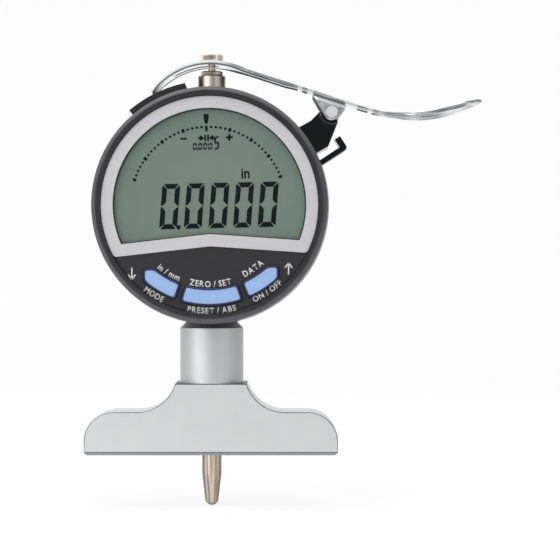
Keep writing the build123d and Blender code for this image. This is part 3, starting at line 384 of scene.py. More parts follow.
@dataclass(frozen=True)
class Plastic:
    """A moulded, painted or rubber-like surface with a fine texture and handling marks."""

    name: str
    colour: Colour
    roughness: float
    texture: float = 6.0
    depth: float = 0.00002
    variation: float = 0.10
    dust: float = 0.0
    coat: float = 0.0
    metallic: float = 0.0
    gloss: float = 0.5
    # The three fields below place a painted highlight, in a band round the dial or a ring, and give its colour.
    band: tuple[float, ...] = ()
    painted_highlight_colour: Colour = (0.070, 0.068, 0.074)
    ring: tuple[float, ...] = ()

    def build(self) -> bpy.types.Material:
        """Makes the material: fine moulded texture, colour drift, dust, worn gloss, and a painted highlight in a band
        or ring.

        Returns:
            The finished material.
        """
        graph = Graph(self.name)
        fine = graph.noise(graph.place(), self.texture, 3)
        cloud = graph.noise(graph.place(shift=(5.3, 2.1, 8.9)), 0.22, 4, 0.6)
        tone = graph.mix(
            (fine - 0.5) * 0.5 + (cloud - 0.5) * 0.9 + 0.5,
            shade(self.colour, 1 - self.variation),
            shade(self.colour, 1 + self.variation),
        )
        # painted highlight: the bezel's rounded rim is lighter, fading towards the back
        if self.band:
            across, up = graph.dial_axes()
            radius = (across * across + up * up).math("SQRT") + (cloud - 0.5) * 0.5
            shoulder = graph.axes()[1].ramp(-16.9, -15.6, 1.0, 0.25)
            tone = graph.mix(radius.ramp(*self.band) * shoulder, tone, self.painted_highlight_colour)
        # painted highlight: a lighter arc round the lever's pivot, where an edge catches light
        if self.ring:
            middle_x, middle_z, ring_radius, half = self.ring
            x, _, z = graph.axes()
            dx, dz = x - middle_x, z - middle_z
            off = ((dx * dx + dz * dz).math("SQRT") - ring_radius).math("ABSOLUTE")
            tone = graph.mix(off.ramp(half, half + 0.25, 1.0, 0.0), tone, self.painted_highlight_colour)
        if self.dust:
            specks = graph.noise(graph.place(shift=(1.7, 4.4, 6.1)), 2.6, 5, 0.7).ramp(0.60, 0.74)
            tone = graph.mix(specks * self.dust, tone, (0.55, 0.55, 0.54))
        graph.set(
            base_color=tone,
            metallic=self.metallic,
            roughness=(cloud - 0.5) * 0.22 + (fine - 0.5) * 0.10 + self.roughness,
            coat_weight=self.coat,
            coat_roughness=0.08,
            specular_ior_level=self.gloss,
        )
        graph.bump(fine, 0.4, self.depth)
        return graph.material


@dataclass(frozen=True)
class DisplayGlass:
    """The liquid-crystal panel: greenish grey, with a soft mottle and a fine cell structure."""

    name: str = "lcd_glass"
    centre: Colour = (0.172, 0.222, 0.180)
    edge: Colour = (0.143, 0.218, 0.174)
    roughness: float = 0.34

    def build(self) -> bpy.types.Material:
        """Makes the material, a little greener and darker towards the rim.

        Returns:
            The finished material.
        """
        graph = Graph(self.name)
        x, _, z = graph.axes()
        up = z - DIAL_HEIGHT * 1000
        radius = (x * x + up * up).math("SQRT")
        mottle = graph.noise(graph.place(shift=(2.0, 0.0, 4.0)), 0.09, 3, 0.5)
        base = graph.mix(radius.ramp(8.0, 26.0), self.centre, self.edge)
        cells = graph.noise(graph.place((9.0, 1.0, 9.0)), 2.0, 1)
        graph.set(
            base_color=graph.mix((mottle - 0.5) * 0.5 + (cells - 0.5) * 0.12 + 0.25, base, (0.205, 0.262, 0.232)),
            roughness=(cells - 0.5) * 0.06 + self.roughness,
            specular_ior_level=0.35,
        )
        return graph.material


@dataclass(frozen=True)
class ClearSheet:
    """A clear, polished plastic window that lets nearly all light through."""

    name: str = "clear_plastic"
    alpha: float = 0.07

    def build(self) -> bpy.types.Material:
        """Makes the material, with very faint wiping marks in its gloss.

        Returns:
            The finished material.
        """
        graph = Graph(self.name)
        wipe = graph.noise(graph.place((0.3, 1.0, 1.0)), 0.8, 4, 0.6)
        graph.set(
            base_color=(0.010, 0.018, 0.015), roughness=(wipe - 0.5) * 0.05 + 0.06,
            alpha=(wipe - 0.5) * 0.02 + self.alpha,
        )
        return graph.material


@dataclass(frozen=True)
class CircuitBoard:
    """A green board with copper tracks under its lacquer."""

    name: str = "board"

    def build(self) -> bpy.types.Material:
        """Makes the material from a grid of tracks and pads.

        Returns:
            The finished material.
        """
        graph = Graph(self.name)
        cells = graph.node(
            "ShaderNodeTexVoronoi", {"distance": "CHEBYCHEV", "feature": "F1"},
            {"Vector": graph.place((1.0, 0.0, 1.0)), "Scale": 0.7},
        )
        tracks = Value(graph, cells.outputs["Distance"]).ramp(0.44, 0.5)
        graph.set(
            base_color=graph.mix(tracks, (0.02, 0.10, 0.045), (0.06, 0.22, 0.09)),
            roughness=tracks * -0.1 + 0.38, coat_weight=0.3,
        )
        graph.bump(tracks, 0.5, 0.00003)
        return graph.material


@dataclass(frozen=True)
class KeyRubber:
    """The pale blue rubber of a key, with a dark blue line round its edge: painted shade of the gap round the key."""

    name: str
    side_key: bool
    colour: Colour = (0.238, 0.350, 0.600)
    middle: Colour = (0.240, 0.385, 0.640)
    line: Colour = (0.006, 0.012, 0.060)
    line_width: float = 0.46
    radii: tuple[float, float] = (20.5, 24.8)
    half_angle: float = 18.1
    side_angle: float = 21.2
    side_cut: float = 42.0
    top_cut: float = 51.9
    corner: float = 0.9

    def edge_distance(self, graph: Graph) -> Value:
        """How far each point of the key's face is from the key's edge, in millimetres.

        Args:
            graph: the material's graph.

        Returns:
            The distance, with rounded corners.
        """
        across, up = graph.dial_axes()
        side = across.math("ABSOLUTE")
        radius = (across * across + up * up).math("SQRT")
        angle = side.math("ARCTAN2", up * -1)
        inner, outer = self.radii
        limits = [outer - radius]
        if self.side_key:
            limits += [
                (angle - math.radians(self.side_angle)) * radius,
                outer * math.sin(math.radians(self.side_cut)) - side,
                (up + outer * math.cos(math.radians(self.top_cut))) * -1,
            ]
        else:
            limits += [(math.radians(self.half_angle) - angle) * radius]
        distance = radius - inner
        for limit in limits:
            distance = distance.math("SMOOTH_MIN", limit, self.corner)
        return distance

    def build(self) -> bpy.types.Material:
        """Makes the material.

        Returns:
            The finished material.
        """
        graph = Graph(self.name)
        distance = self.edge_distance(graph)
        grain = graph.noise(graph.place(), 6.0, 3)
        cloud = graph.noise(graph.place(shift=(4.0, 1.0, 2.0)), 0.5, 3)
        face = graph.mix(distance.ramp(0.4, 2.0) + (cloud - 0.5) * 0.6, self.colour, self.middle)
        # painted shade: a dark blue line along the key's edge, for the shaded gap round it
        gap_shade = distance.ramp(self.line_width, self.line_width + 0.10)
        graph.set(base_color=graph.mix(gap_shade, self.line, face), roughness=(cloud - 0.5) * 0.15 + 0.46)
        graph.bump(grain, 0.3, 0.000008)
        return graph.material


@dataclass(frozen=True)
class Ink:
    """A printed or liquid-crystal mark: nearly even, with a slight drift in its density."""

    name: str
    colour: Colour
    roughness: float = 0.5
    variation: float = 0.12
    gloss: float = 0.3

    def build(self) -> bpy.types.Material:
        """Makes the material.

        Returns:
            The finished material.
        """
        graph = Graph(self.name)
        density = graph.noise(graph.place(), 0.9, 3)
        graph.set(
            base_color=graph.mix(density, shade(self.colour, 1 - self.variation), shade(self.colour, 1 + self.variation)),
            roughness=(density - 0.5) * 0.2 + self.roughness,
            specular_ior_level=self.gloss,
        )
        return graph.material


FINISHES = {
    "satin_steel": Metal("satin_steel", (0.70, 0.705, 0.71), 0.42, Grain.LENGTHWISE, 5.0, 0.000004),
    # painted shade: a dark steel for the base's broken edges and its top, and a darker grey steel for its foot's
    # chamfers
    "edge_painted_shade": Metal("edge_painted_shade", (0.20, 0.215, 0.235), 0.5, Grain.CAST, 6.0),
    "foot_painted_shade": Metal("foot_painted_shade", (0.36, 0.375, 0.39), 0.5, Grain.LENGTHWISE, 6.0),
    "turned_steel": Metal("turned_steel", (0.60, 0.60, 0.595), 0.40, Grain.TURNED, 14.0, 0.000008),
    "collar_steel": Metal("collar_steel", (0.60, 0.605, 0.61), 0.50, Grain.TURNED, 14.0, 0.000008, 0.10),
    "nickel": Metal("nickel", (0.56, 0.485, 0.395), 0.22, Grain.TURNED, 12.0, 0.00001),
    "knurled_nickel": Metal("knurled_nickel", (0.56, 0.50, 0.42), 0.30, Grain.CAST, 9.0, 0.00002),
    # painted shade on the flanks of the bush and of the contact point, and at the contact point's tip
    "bush_nickel": Metal(
        "bush_nickel", (0.62, 0.56, 0.48), 0.34, Grain.TURNED, 12.0, 0.00001, 0.10, 0.6, (0.50, 1.0), 0.0,
        (0.36, 0.33, 0.29),
    ),
    "contact_nickel": Metal(
        "contact_nickel", (0.66, 0.57, 0.475), 0.22, Grain.TURNED, 12.0, 0.00001, 0.08, 0.7, (0.55, 0.98), 0.9,
        (0.17, 0.125, 0.095),
    ),
    "pin_plate": Metal("pin_plate", (0.93, 0.93, 0.93), 0.30, Grain.CAST, 3.0, 0.000004),
    "chrome_plate": Metal("chrome_plate", (0.80, 0.81, 0.83), 0.14, Grain.CAST, 1.4, 0.00002),
    "dark_steel": Metal("dark_steel", (0.16, 0.16, 0.17), 0.38, Grain.CAST, 7.0),
    "case_metal": Plastic("case_metal", (0.022, 0.022, 0.026), 0.40, 5.0, 0.00003, dust=0.10, gloss=0.4),
    "charcoal_plastic": Plastic("charcoal_plastic", (0.020, 0.020, 0.024), 0.33, 7.0, 0.00001, dust=0.06),
    # painted highlight on the bezel's rounded rim
    "bezel_plastic": Plastic(
        "bezel_plastic", (0.013, 0.013, 0.016), 0.36, 7.0, 0.00001, dust=0.05, gloss=0.4, band=(27.6, 28.4)
    ),
    "silver_plastic": Plastic("silver_plastic", (0.485, 0.478, 0.495), 0.42, 10.0, 0.000006, 0.04, metallic=0.2),
    "panel_plastic": Plastic("panel_plastic", (0.014, 0.013, 0.015), 0.46, 9.0, 0.00001, dust=0.04, gloss=0.4),
    "clear_plastic": ClearSheet(),
    "lcd_glass": DisplayGlass(),
    "white_plastic": Plastic("white_plastic", (0.72, 0.72, 0.70), 0.5),
    "board": CircuitBoard(),
    "chip": Plastic("chip", (0.02, 0.02, 0.02), 0.45),
    "blue_rubber": KeyRubber("side_key_rubber", True),
    "middle_key": KeyRubber("middle_key_rubber", False),
    "black_plastic": Plastic("black_plastic", (0.003, 0.004, 0.006), 0.16, 2.5, 0.000006, dust=0.03, gloss=0.16),
    # painted highlight in an arc round the lever's pivot
    "bracket_plastic": Plastic(
        "bracket_plastic", (0.003, 0.004, 0.006), 0.16, 2.5, 0.000006, dust=0.03, gloss=0.16,
        painted_highlight_colour=(0.026, 0.034, 0.042), ring=(30.3, 86.15, 3.15, 0.12),
    ),
    "black_rubber": Plastic("black_rubber", (0.012, 0.012, 0.013), 0.60, 9.0, 0.00003, dust=0.10, gloss=0.35),
    "bronze": Metal("bronze", (0.60, 0.42, 0.22), 0.35, Grain.TURNED, 9.0),
    "spring_steel": Metal("spring_steel", (0.55, 0.55, 0.56), 0.25, Grain.CAST, 6.0),
    "scale_glass": Plastic("scale_glass", (0.62, 0.70, 0.72), 0.12, 3.0, 0.000002, 0.04, coat=0.5),
    "liquid_crystal": Ink("liquid_crystal", (0.0035, 0.0075, 0.0105), 0.45, gloss=0.05),
    "white_print": Ink("white_print", (0.56, 0.56, 0.56), 0.55, 0.05),
    # the window's dark seal, dark enough to stand also for the frame's painted shadow on the panel
    "window_seal_shadow": Ink("window_seal_shadow", (0.030, 0.042, 0.037), 0.6, gloss=0.1),
}
OTHER_FINISH = {
    "centre_button": "middle_key", "pivot_pin": "pin_plate", "bezel": "bezel_plastic",
    "lever_bracket": "bracket_plastic", "upper_bush": "bush_nickel",
    "contact_point": "contact_nickel", "collar": "collar_steel",
}


class Paintbox:
    """Makes each finish once and gives it to the pieces."""

    def __init__(self, finishes: dict[str, Any]) -> None:
        """Keeps the finishes.

        Args:
            finishes: each finish by its name.
        """
        self.finishes = finishes
        self.made: dict[str, bpy.types.Material] = {}

    def material(self, name: str) -> bpy.types.Material:
        """The material of a finish, made when it is first asked for."""
        if name not in self.made:
            self.made[name] = self.finishes[name].build()
        return self.made[name]

    def dress(self, obj: bpy.types.Object, name: str) -> None:
        """Gives an object one finish in all its slots."""
        material = self.material(name)
        obj.data.materials.clear()
        obj.data.materials.append(material)

    def dress_frame(self, nodes: dict[str, bpy.types.Object], record: dict[str, Any]) -> None:
        """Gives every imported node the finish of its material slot.

        Args:
            nodes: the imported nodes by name.
            record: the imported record.
        """
        for part in record["subparts"]:
            name = OTHER_FINISH.get(part["node"], part["material_slot"])
            self.dress(nodes[part["node"]], name)
            log.info("%s is finished as %s", part["node"], name)


# ------------------------------------------------------------------- modelling


def face_matrix(depth: float, turn: float = 0.0) -> Matrix:
    """The dial seen from the front: x to the right, y up, z towards the viewer.

    Args:
        depth: the Y of the plane that flat shapes are laid on.
        turn: a further turn about the dial's axis, in degrees, counter-clockwise as seen.

    Returns:
        The matrix that sets a flat shape on the dial.
    """
    angle = math.radians(DISPLAY_TURN + turn)
    c, s = math.cos(angle), math.sin(angle)
    return Matrix(((c, -s, 0, 0), (0, 0, -1, depth), (s, c, 0, DIAL_HEIGHT), (0, 0, 0, 1)))


@dataclass
class Shape:
    """A mesh in the making, shaped by bmesh operators."""

    mesh: bmesh.types.BMesh = field(default_factory=bmesh.new)

    def polygon(self, points: Iterable[Point]) -> list[bmesh.types.BMVert]:
        """Adds one flat face.

        Args:
            points: its corners, counter-clockwise.

        Returns:
            The new vertices.
        """
        verts = [self.mesh.verts.new((x, y, 0.0)) for x, y in points]
        self.mesh.faces.new(verts)
        return verts

    def bar(self, width: float, height: float, at: Point = (0.0, 0.0), turn: float = 0.0) -> None:
        """Adds a flat bar.

        Args:
            width: its size along x before it is turned.
            height: its size along y.
            at: its middle.
            turn: its turn, in degrees.
        """
        spin = Matrix.Translation((*at, 0)) @ Matrix.Rotation(math.radians(turn), 4, "Z")
        bmesh.ops.create_grid(
            self.mesh, x_segments=1, y_segments=1, size=0.5, matrix=spin @ Matrix.Diagonal((width, height, 1, 1))
        )

    def disc(self, radius: float, at: Point = (0.0, 0.0), segments: int = 14) -> None:
        """Adds a flat disc."""
        bmesh.ops.create_circle(
            self.mesh, cap_ends=True, segments=segments, radius=radius, matrix=Matrix.Translation((*at, 0))
        )

    def raise_by(self, height: float) -> None:
        """Gives every flat face a thickness towards +Z."""
        made = bmesh.ops.extrude_face_region(self.mesh, geom=self.mesh.faces[:])
        top = [g for g in made["geom"] if isinstance(g, bmesh.types.BMVert)]
        bmesh.ops.translate(self.mesh, verts=top, vec=(0, 0, height))
        bmesh.ops.recalc_face_normals(self.mesh, faces=self.mesh.faces[:])

    def transform(self, matrix: Matrix) -> None:
        """Moves every vertex by a matrix."""
        bmesh.ops.transform(self.mesh, matrix=matrix, verts=self.mesh.verts[:])

    def finish(
        self, name: str, body: Optional[str], slot: Optional[str] = None, smooth: float = 0.0
    ) -> bpy.types.Object:
        """Turns the shape into a piece that rides on a body.

        Args:
            name: the piece's name.
            body: the body that it moves with, or None for a piece that is left on no body.
            slot: the record's material slot that it would take its finish from; not used.
            smooth: edges flatter than this many degrees are shaded smooth.

        Returns:
            The new object.
        """
        data = bpy.data.meshes.new(name)
        self.mesh.to_mesh(data)
        self.mesh.free()
        obj = bpy.data.objects.new(name, data)
        bpy.context.scene.collection.objects.link(obj)
        if smooth:
            data.shade_smooth()
            data.set_sharp_from_angle(angle=math.radians(smooth))
        if body:
            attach(obj, body)
        log.info("piece %s rides on %s with %d faces", name, body or "two bodies", len(data.polygons))
        return obj


def letter_shape(text: str, size: float, narrow: float = 1.0) -> tuple[bpy.types.Mesh, float]:
    """A flat mesh of a word or letter in Blender's own typeface.

    Args:
        text: what is written.
        size: the type size.
        narrow: the letters' width as a share of the typeface's own.

    Returns:
        The mesh, centred on its own width and on its baseline, and its width.
    """
    curve = bpy.data.curves.new("letter", "FONT")
    curve.body = text
    curve.size = size
    curve.resolution_u = 3
    curve.offset = size * 0.024
    obj = bpy.data.objects.new("letter", curve)
    bpy.context.scene.collection.objects.link(obj)
    bpy.context.view_layer.update()
    data = bpy.data.meshes.new_from_object(obj)
    bpy.data.objects.remove(obj)
    xs = [v.co.x for v in data.vertices]
    low, high = min(xs), max(xs)
    data.transform(Matrix.Diagonal((narrow, 1, 1, 1)) @ Matrix.Translation((-(low + high) / 2, 0, 0)))
    return data, (high - low) * narrow


# ------------------------------------------------------------- the lit display


class Segment(Enum):
    """The seven bars of a figure."""

    TOP = "a"
    UPPER_RIGHT = "b"
    LOWER_RIGHT = "c"
    BOTTOM = "d"
    LOWER_LEFT = "e"
    UPPER_LEFT = "f"
    MIDDLE = "g"


FIGURES = {
    "0": "abcdef",
    "5": "afgcd",
}


@dataclass
class SevenSegment:
    """One seven-bar figure, slanted, with mitred ends."""

    width: float
    height: float
    stroke: float
    gap: float
    slant: float = 5.6

    def outline(self, segment: Segment) -> list[Point]:
        """The corners of one bar, about the figure's middle.

        Args:
            segment: which bar.

        Returns:
            The corners, counter-clockwise.
        """
        w, h, t, g = self.width / 2, self.height / 2, self.stroke, self.gap / 2
        corner = t * 0.22
        half = t / 2
        if segment is Segment.MIDDLE:
            e = w - g - 0.15 * t
            return [(-e, 0), (-e + half, -half), (e - half, -half), (e, 0), (e - half, half), (-e + half, half)]
        across = [(-w + g + corner, h), (-w + t + g, h - t), (w - t - g, h - t), (w - g - corner, h)]
        upright = [(-w, h - g - corner), (-w, g), (-w + half, g + half * 0.6), (-w + t, g + t * 0.9), (-w + t, h - t - g)]
        if segment is Segment.TOP:
            return across
        if segment is Segment.BOTTOM:
            return [(x, -y) for x, y in reversed(across)]
        if segment is Segment.UPPER_LEFT:
            return upright
        if segment is Segment.LOWER_LEFT:
            return [(x, -y) for x, y in reversed(upright)]
        if segment is Segment.UPPER_RIGHT:
            return [(-x, y) for x, y in reversed(upright)]
        return [(-x, -y) for x, y in upright]

    def draw(self, shape: Shape, figure: str, at: Point) -> None:
        """Draws a figure's lit bars.

        Args:
            shape: the shape that the bars are added to.
            figure: the figure to draw.
            at: the figure's middle on the dial.
        """
        lean = math.tan(math.radians(self.slant))
        for segment in Segment:
            if segment.value in FIGURES[figure]:
                shape.polygon([(at[0] + x + y * lean, at[1] + y) for x, y in self.outline(segment)])


@dataclass
class DisplayGraphics:
    """What the liquid-crystal panel shows: five figures, a bar scale with its pointer, and small signs."""

    glass_y: float = -0.01615
    thickness: float = 0.00003
    figure_xs: tuple[float, ...] = (-0.00979, -0.00375, 0.00229, 0.00834, 0.01438)
    figure_y: float = -0.00021
    scale_middle: Point = (-0.00036, 0.00016)
    scale_radius: float = 0.01898
    scale_step: float = 3.52
    scale_dots: int = 20
    dots_per_mark: int = 5
    dot_radius: float = 0.00033
    mark_length: float = 0.00092
    mark_width: float = 0.00072
    pointer: tuple[float, float, float] = (0.02229, 0.01989, 0.00125)
    digit: SevenSegment = field(default_factory=lambda: SevenSegment(0.0044, 0.0111, 0.00124, 0.00008))
    small_digit: SevenSegment = field(default_factory=lambda: SevenSegment(0.00096, 0.00172, 0.00040, 0.00002))
    five: SevenSegment = field(default_factory=lambda: SevenSegment(0.00128, 0.0032, 0.00044, 0.00003))

    def figures(self) -> Shape:
        """The reading: five figures and a decimal point."""
        shape = Shape()
        for x in self.figure_xs:
            self.digit.draw(shape, "0", (x, self.figure_y))
        shape.disc(0.00056, (-0.00771, -0.00535), 16)
        return shape

    def scale(self) -> Shape:
        """The curved bar scale: dots, longer marks, a zero mark and the pointer above it."""
        shape = Shape()
        for step in range(-self.scale_dots, self.scale_dots + 1):
            angle = math.radians(step * self.scale_step)
            across, up = self.scale_radius * math.sin(angle), self.scale_radius * math.cos(angle)
            at = (self.scale_middle[0] + across, self.scale_middle[1] + up)
            if step == 0:
                shape.bar(0.00062, 0.00140, (at[0], at[1] - 0.00045))
            elif step % self.dots_per_mark:
                shape.disc(self.dot_radius, at, 8)
            else:
                shape.bar(self.mark_width, self.mark_length, at, -math.degrees(angle))
        top, foot, width = self.pointer
        corners = [(width * 0.24, foot), (width / 2, top - 0.0010), (width / 2, top)]
        corners += [(-x, y) for x, y in reversed(corners)]
        shape.polygon([(self.scale_middle[0] + x, y) for x, y in corners])
        return shape

    def signs(self) -> Shape:
        """The small signs: minus, plus, the scale's resolution and the unit."""
        shape = Shape()
        shape.bar(0.00165, 0.00042, (-0.00600, 0.01632))
        shape.bar(0.00175, 0.00052, (0.00520, 0.01644))
        shape.bar(0.00052, 0.00175, (0.00520, 0.01644))
        for side in (-1, 1):
            shape.bar(0.00044, 0.00160, (-0.00036 + side * 0.00036, 0.0164))
            tip = -0.00036 + side * 0.00052
            back = tip + side * 0.00115
            corners = [(tip, 0.0164), (back, 0.01718), (back, 0.01562)]
            shape.polygon(corners if side < 0 else corners[::-1])
            shape.bar(0.00050, 0.00044, (back + side * 0.00020, 0.0164))
        for x in (-0.00330, -0.00200, -0.00076, 0.00048):
            self.small_digit.draw(shape, "0", (x, 0.01436))
        shape.disc(0.00020, (-0.00264, 0.01364), 8)
        self.five.draw(shape, "5", (0.00208, 0.01516))
        unit, _ = letter_shape("in", 0.00372, 0.84)
        unit.transform(Matrix.Translation((0.00897, 0.00632, 0)))
        shape.mesh.from_mesh(unit)
        return shape

    def build(self, paint: Paintbox) -> None:
        """Builds the three layers on the glass.

        Args:
            paint: the paintbox.
        """
        layers: dict[str, Callable[[], Shape]] = {
            "lcd_figures": self.figures, "lcd_scale": self.scale, "lcd_signs": self.signs,
        }
        for name, draw in layers.items():
            shape = draw()
            shape.raise_by(self.thickness)
            shape.transform(face_matrix(self.glass_y))
            paint.dress(shape.finish(name, "display", "lcd_glass"), "liquid_crystal")


# ---------------------------------------------------------- print on the panel


@dataclass
class Label:
    """A word that follows an arc round the dial."""

    text: str
    radius: float
    angle: float


@dataclass
class PanelPrint:
    """The white print on the lower panel: the keys' words and two arrows."""

    panel_y: float = -0.01725
    thickness: float = 0.00003
    type_size: float = 0.00214
    letter_gap: float = 0.00020
    narrow: float = 0.85
    blank: float = 0.00026
    labels: tuple[Label, ...] = (
        Label("in / mm", 0.01942, -32.0),
        Label("MODE", 0.02585, -32.9),
        Label("ZERO / SET", 0.01945, -0.6),
        Label("PRESET / ABS", 0.02598, 0.0),
        Label("DATA", 0.01898, 33.0),
        Label("ON / OFF", 0.02560, 32.4),
    )
    arrow_spots: tuple[tuple[Point, float], ...] = (((-0.01938, -0.01645), 178.0), ((0.01900, -0.01612), -2.0))
    arrow_height: float = 0.0029
    arrow_line: float = 0.00030
    arrow_head: float = 0.00150
    arrow_spread: float = 36.0

    def word(self, shape: Shape, label: Label) -> None:
        """Sets a word on its arc, letter by letter, read from the left with its foot outwards.

        Args:
            shape: the shape that the letters are added to.
            label: the word and its place; angles run from straight down, positive to the right.
        """
        letters = [(None, self.blank) if c == " " else letter_shape(c, self.type_size, self.narrow) for c in label.text]
        total = sum(width for _, width in letters) + self.letter_gap * (len(letters) - 1)
        along = -total / 2
        cap = 0.36 * self.type_size
        for data, width in letters:
            middle = math.radians(label.angle) + (along + width / 2) / label.radius
            if data:
                foot = Matrix.Rotation(middle, 4, "Z") @ Matrix.Translation((0, -label.radius - cap, 0))
                data.transform(foot)
                shape.mesh.from_mesh(data)
            along += width + self.letter_gap

    def arrow(self, shape: Shape, at: Point, turn: float) -> None:
        """Draws a thin arrow with an open head, which points up before it is turned."""
        parts = Shape()
        parts.bar(self.arrow_line, self.arrow_height)
        spread = math.radians(self.arrow_spread)
        reach = self.arrow_head / 2
        for side in (-1, 1):
            at_middle = (side * reach * math.sin(spread), self.arrow_height / 2 - reach * math.cos(spread))
            parts.bar(self.arrow_line, self.arrow_head, at_middle, side * self.arrow_spread)
        parts.transform(Matrix.Translation((*at, 0)) @ Matrix.Rotation(math.radians(turn), 4, "Z"))
        data = bpy.data.meshes.new("arrow")
        parts.mesh.to_mesh(data)
        parts.mesh.free()
        shape.mesh.from_mesh(data)

    def build(self, paint: Paintbox) -> None:
        """Builds the print.

        Args:
            paint: the paintbox.
        """
        words, arrows = Shape(), Shape()
        for label in self.labels:
            self.word(words, label)
        for at, turn in self.arrow_spots:
            self.arrow(arrows, at, turn)
        for name, shape in (("panel_words", words), ("panel_arrows", arrows)):
            shape.raise_by(self.thickness)
            shape.transform(face_matrix(self.panel_y))
            paint.dress(shape.finish(name, "display", "panel_plastic"), "white_print")


# ------------------------------------------------------------------ the window


@dataclass
class WindowSealShadow:
    """The thin dark ring round the window's edge, behind the lens: the window's dark seal, with painted shadow of the
    frame on the panel.
    """

    y: float = -0.01652
    radius: float = 0.02366
    apex: float = -0.00722
    drop: float = 0.0020
    span: float = 0.0218
    width: float = 0.00026
    depth: float = 0.00030

    def build(self, paint: Paintbox) -> None:
        """Builds the ring: a disc cut along the chevron, with its middle removed.

        Args:
            paint: the paintbox.
        """
        shape = Shape()
        bm = shape.mesh
        bmesh.ops.create_circle(bm, cap_ends=True, segments=160, radius=self.radius)
        halves = []
        for side in (-1, 1):
            half = Shape()
            data = bpy.data.meshes.new("half")
            bm.to_mesh(data)
            half.mesh.from_mesh(data)
            part = half.mesh
            cuts = (
                ((0, 0, 0), (-side, 0, 0)),
                ((0, self.apex, 0), (-side * self.drop, -self.span, 0)),
            )
            for spot, way in cuts:
                bmesh.ops.bisect_plane(part, geom=[*part.verts, *part.edges, *part.faces], plane_co=spot,
                                       plane_no=way, clear_outer=True)
            half.mesh.to_mesh(data)
            half.mesh.free()
            halves.append(data)
        bmesh.ops.delete(bm, geom=bm.verts[:], context="VERTS")
        for data in halves:
            bm.from_mesh(data)
        bmesh.ops.remove_doubles(bm, verts=bm.verts[:], dist=1e-7)
        bmesh.ops.dissolve_faces(bm, faces=bm.faces[:])
        bmesh.ops.recalc_face_normals(bm, faces=bm.faces[:])
        ring = bmesh.ops.inset_region(
            bm, faces=bm.faces[:], thickness=self.width, use_even_offset=True, use_boundary=True
        )
        rim = set(ring["faces"])
        middle = [f for f in bm.faces if f not in rim]
        bmesh.ops.delete(bm, geom=middle, context="FACES")
        shape.raise_by(-self.depth)
        shape.transform(face_matrix(self.y))
        paint.dress(shape.finish("window_seal_shadow", "display", "panel_plastic"), "window_seal_shadow")


# -------------------------------------------------------------------- the knob


@dataclass
class LiftingKnob:
    """The spindle's knob: a knurled flange, a neck and a knurled head."""

    foot: float = 0.09545
    flange_radius: float = 0.00275
    flange_height: float = 0.00115
    neck_radius: float = 0.0009
    neck_height: float = 0.00255
    head_radius: float = 0.002775
    head_height: float = 0.0016
    stud_depth: float = 0.0042
    edge: float = 0.00022
    teeth: int = 38
    tooth_depth: float = 0.00022
    twist: float = 12.0

    def knurled_disc(self, shape: Shape, radius: float, height: float, foot: float) -> None:
        """Adds a disc with a slanted knurl and bevelled edges.

        Args:
            shape: the shape that the disc is added to.
            radius: the radius over the teeth.
            height: the disc's height.
            foot: the height of its lower face.
        """
        bm = shape.mesh
        levels = ((foot, radius - self.edge), (foot + self.edge, radius), (foot + height - self.edge, radius),
                  (foot + height, radius - self.edge))
        rings = []
        for level, (z, ring_radius) in enumerate(levels):
            turned = self.twist * level / (len(levels) - 1)
            turn = Matrix.Translation((0, 0, z)) @ Matrix.Rotation(math.radians(turned), 4, "Z")
            made = bmesh.ops.create_circle(bm, segments=2 * self.teeth, radius=ring_radius, matrix=turn)
            verts = made["verts"]
            for number, vert in enumerate(verts):
                if number % 2 == 0 and level in (1, 2):
                    inward = (ring_radius - self.tooth_depth) / ring_radius
                    vert.co.x *= inward
                    vert.co.y *= inward
            rings.append([e for e in {e for v in verts for e in v.link_edges}])
        for lower, upper in zip(rings, rings[1:]):
            bmesh.ops.bridge_loops(bm, edges=[*lower, *upper])
        for edges in (rings[0], rings[-1]):
            bmesh.ops.edgeloop_fill(bm, edges=edges)

    def build(self, paint: Paintbox) -> None:
        """Builds the knob in place of its plain solid.

        Args:
            paint: the paintbox.
        """
        shape = Shape()
        neck_foot = self.foot + self.flange_height
        head_foot = neck_foot + self.neck_height
        self.knurled_disc(shape, self.flange_radius, self.flange_height, self.foot)
        self.knurled_disc(shape, self.head_radius, self.head_height, head_foot)
        for low, high in ((neck_foot - 0.0002, head_foot + 0.0002), (self.foot - self.stud_depth, self.foot + 0.0002)):
            bmesh.ops.create_cone(
                shape.mesh, cap_ends=True, segments=40, radius1=self.neck_radius, radius2=self.neck_radius,
                depth=high - low, matrix=Matrix.Translation((0, 0, (low + high) / 2)),
            )
        bmesh.ops.recalc_face_normals(shape.mesh, faces=shape.mesh.faces[:])
        knob = shape.finish("lifting_knob_knurled", "spindle", "nickel", 20)
        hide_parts("lifting_knob")
        paint.dress(knob, "knurled_nickel")


@dataclass
class BushRim:
    """The raised rim on top of the upper bush, just under the knob."""

    top: float = 0.09536
    bore: float = 0.0014
    edge: float = 0.00014

    def build(self, paint: Paintbox) -> None:
        """Builds the rim from the outline of the bush's own top.

        Args:
            paint: the paintbox.
        """
        verts = [v.co for v in frame["nodes"]["upper_bush"].data.vertices]
        seat = max(v.z for v in verts)
        radius = max(math.hypot(v.x, v.y) for v in verts if v.z > seat - 0.0012)
        shape = Shape()
        bm = shape.mesh
        foot = seat - 0.0003
        profile = [
            (self.bore, foot), (radius, foot), (radius, self.top - self.edge), (radius - self.edge, self.top),
            (self.bore, self.top),
        ]
        ring = [bm.verts.new((x, 0, z)) for x, z in profile]
        face = bm.faces.new(ring)
        bmesh.ops.spin(
            bm, geom=[face], cent=(0, 0, 0), axis=(0, 0, 1), angle=math.tau, steps=64, use_merge=True
        )
        bmesh.ops.remove_doubles(bm, verts=bm.verts[:], dist=1e-7)
        inner = [f for f in bm.faces if len(f.verts) == len(profile)]
        bmesh.ops.delete(bm, geom=inner, context="FACES_ONLY")
        bmesh.ops.recalc_face_normals(bm, faces=bm.faces[:])
        paint.dress(shape.finish("bush_rim", "case", "nickel", 30), "bush_nickel")


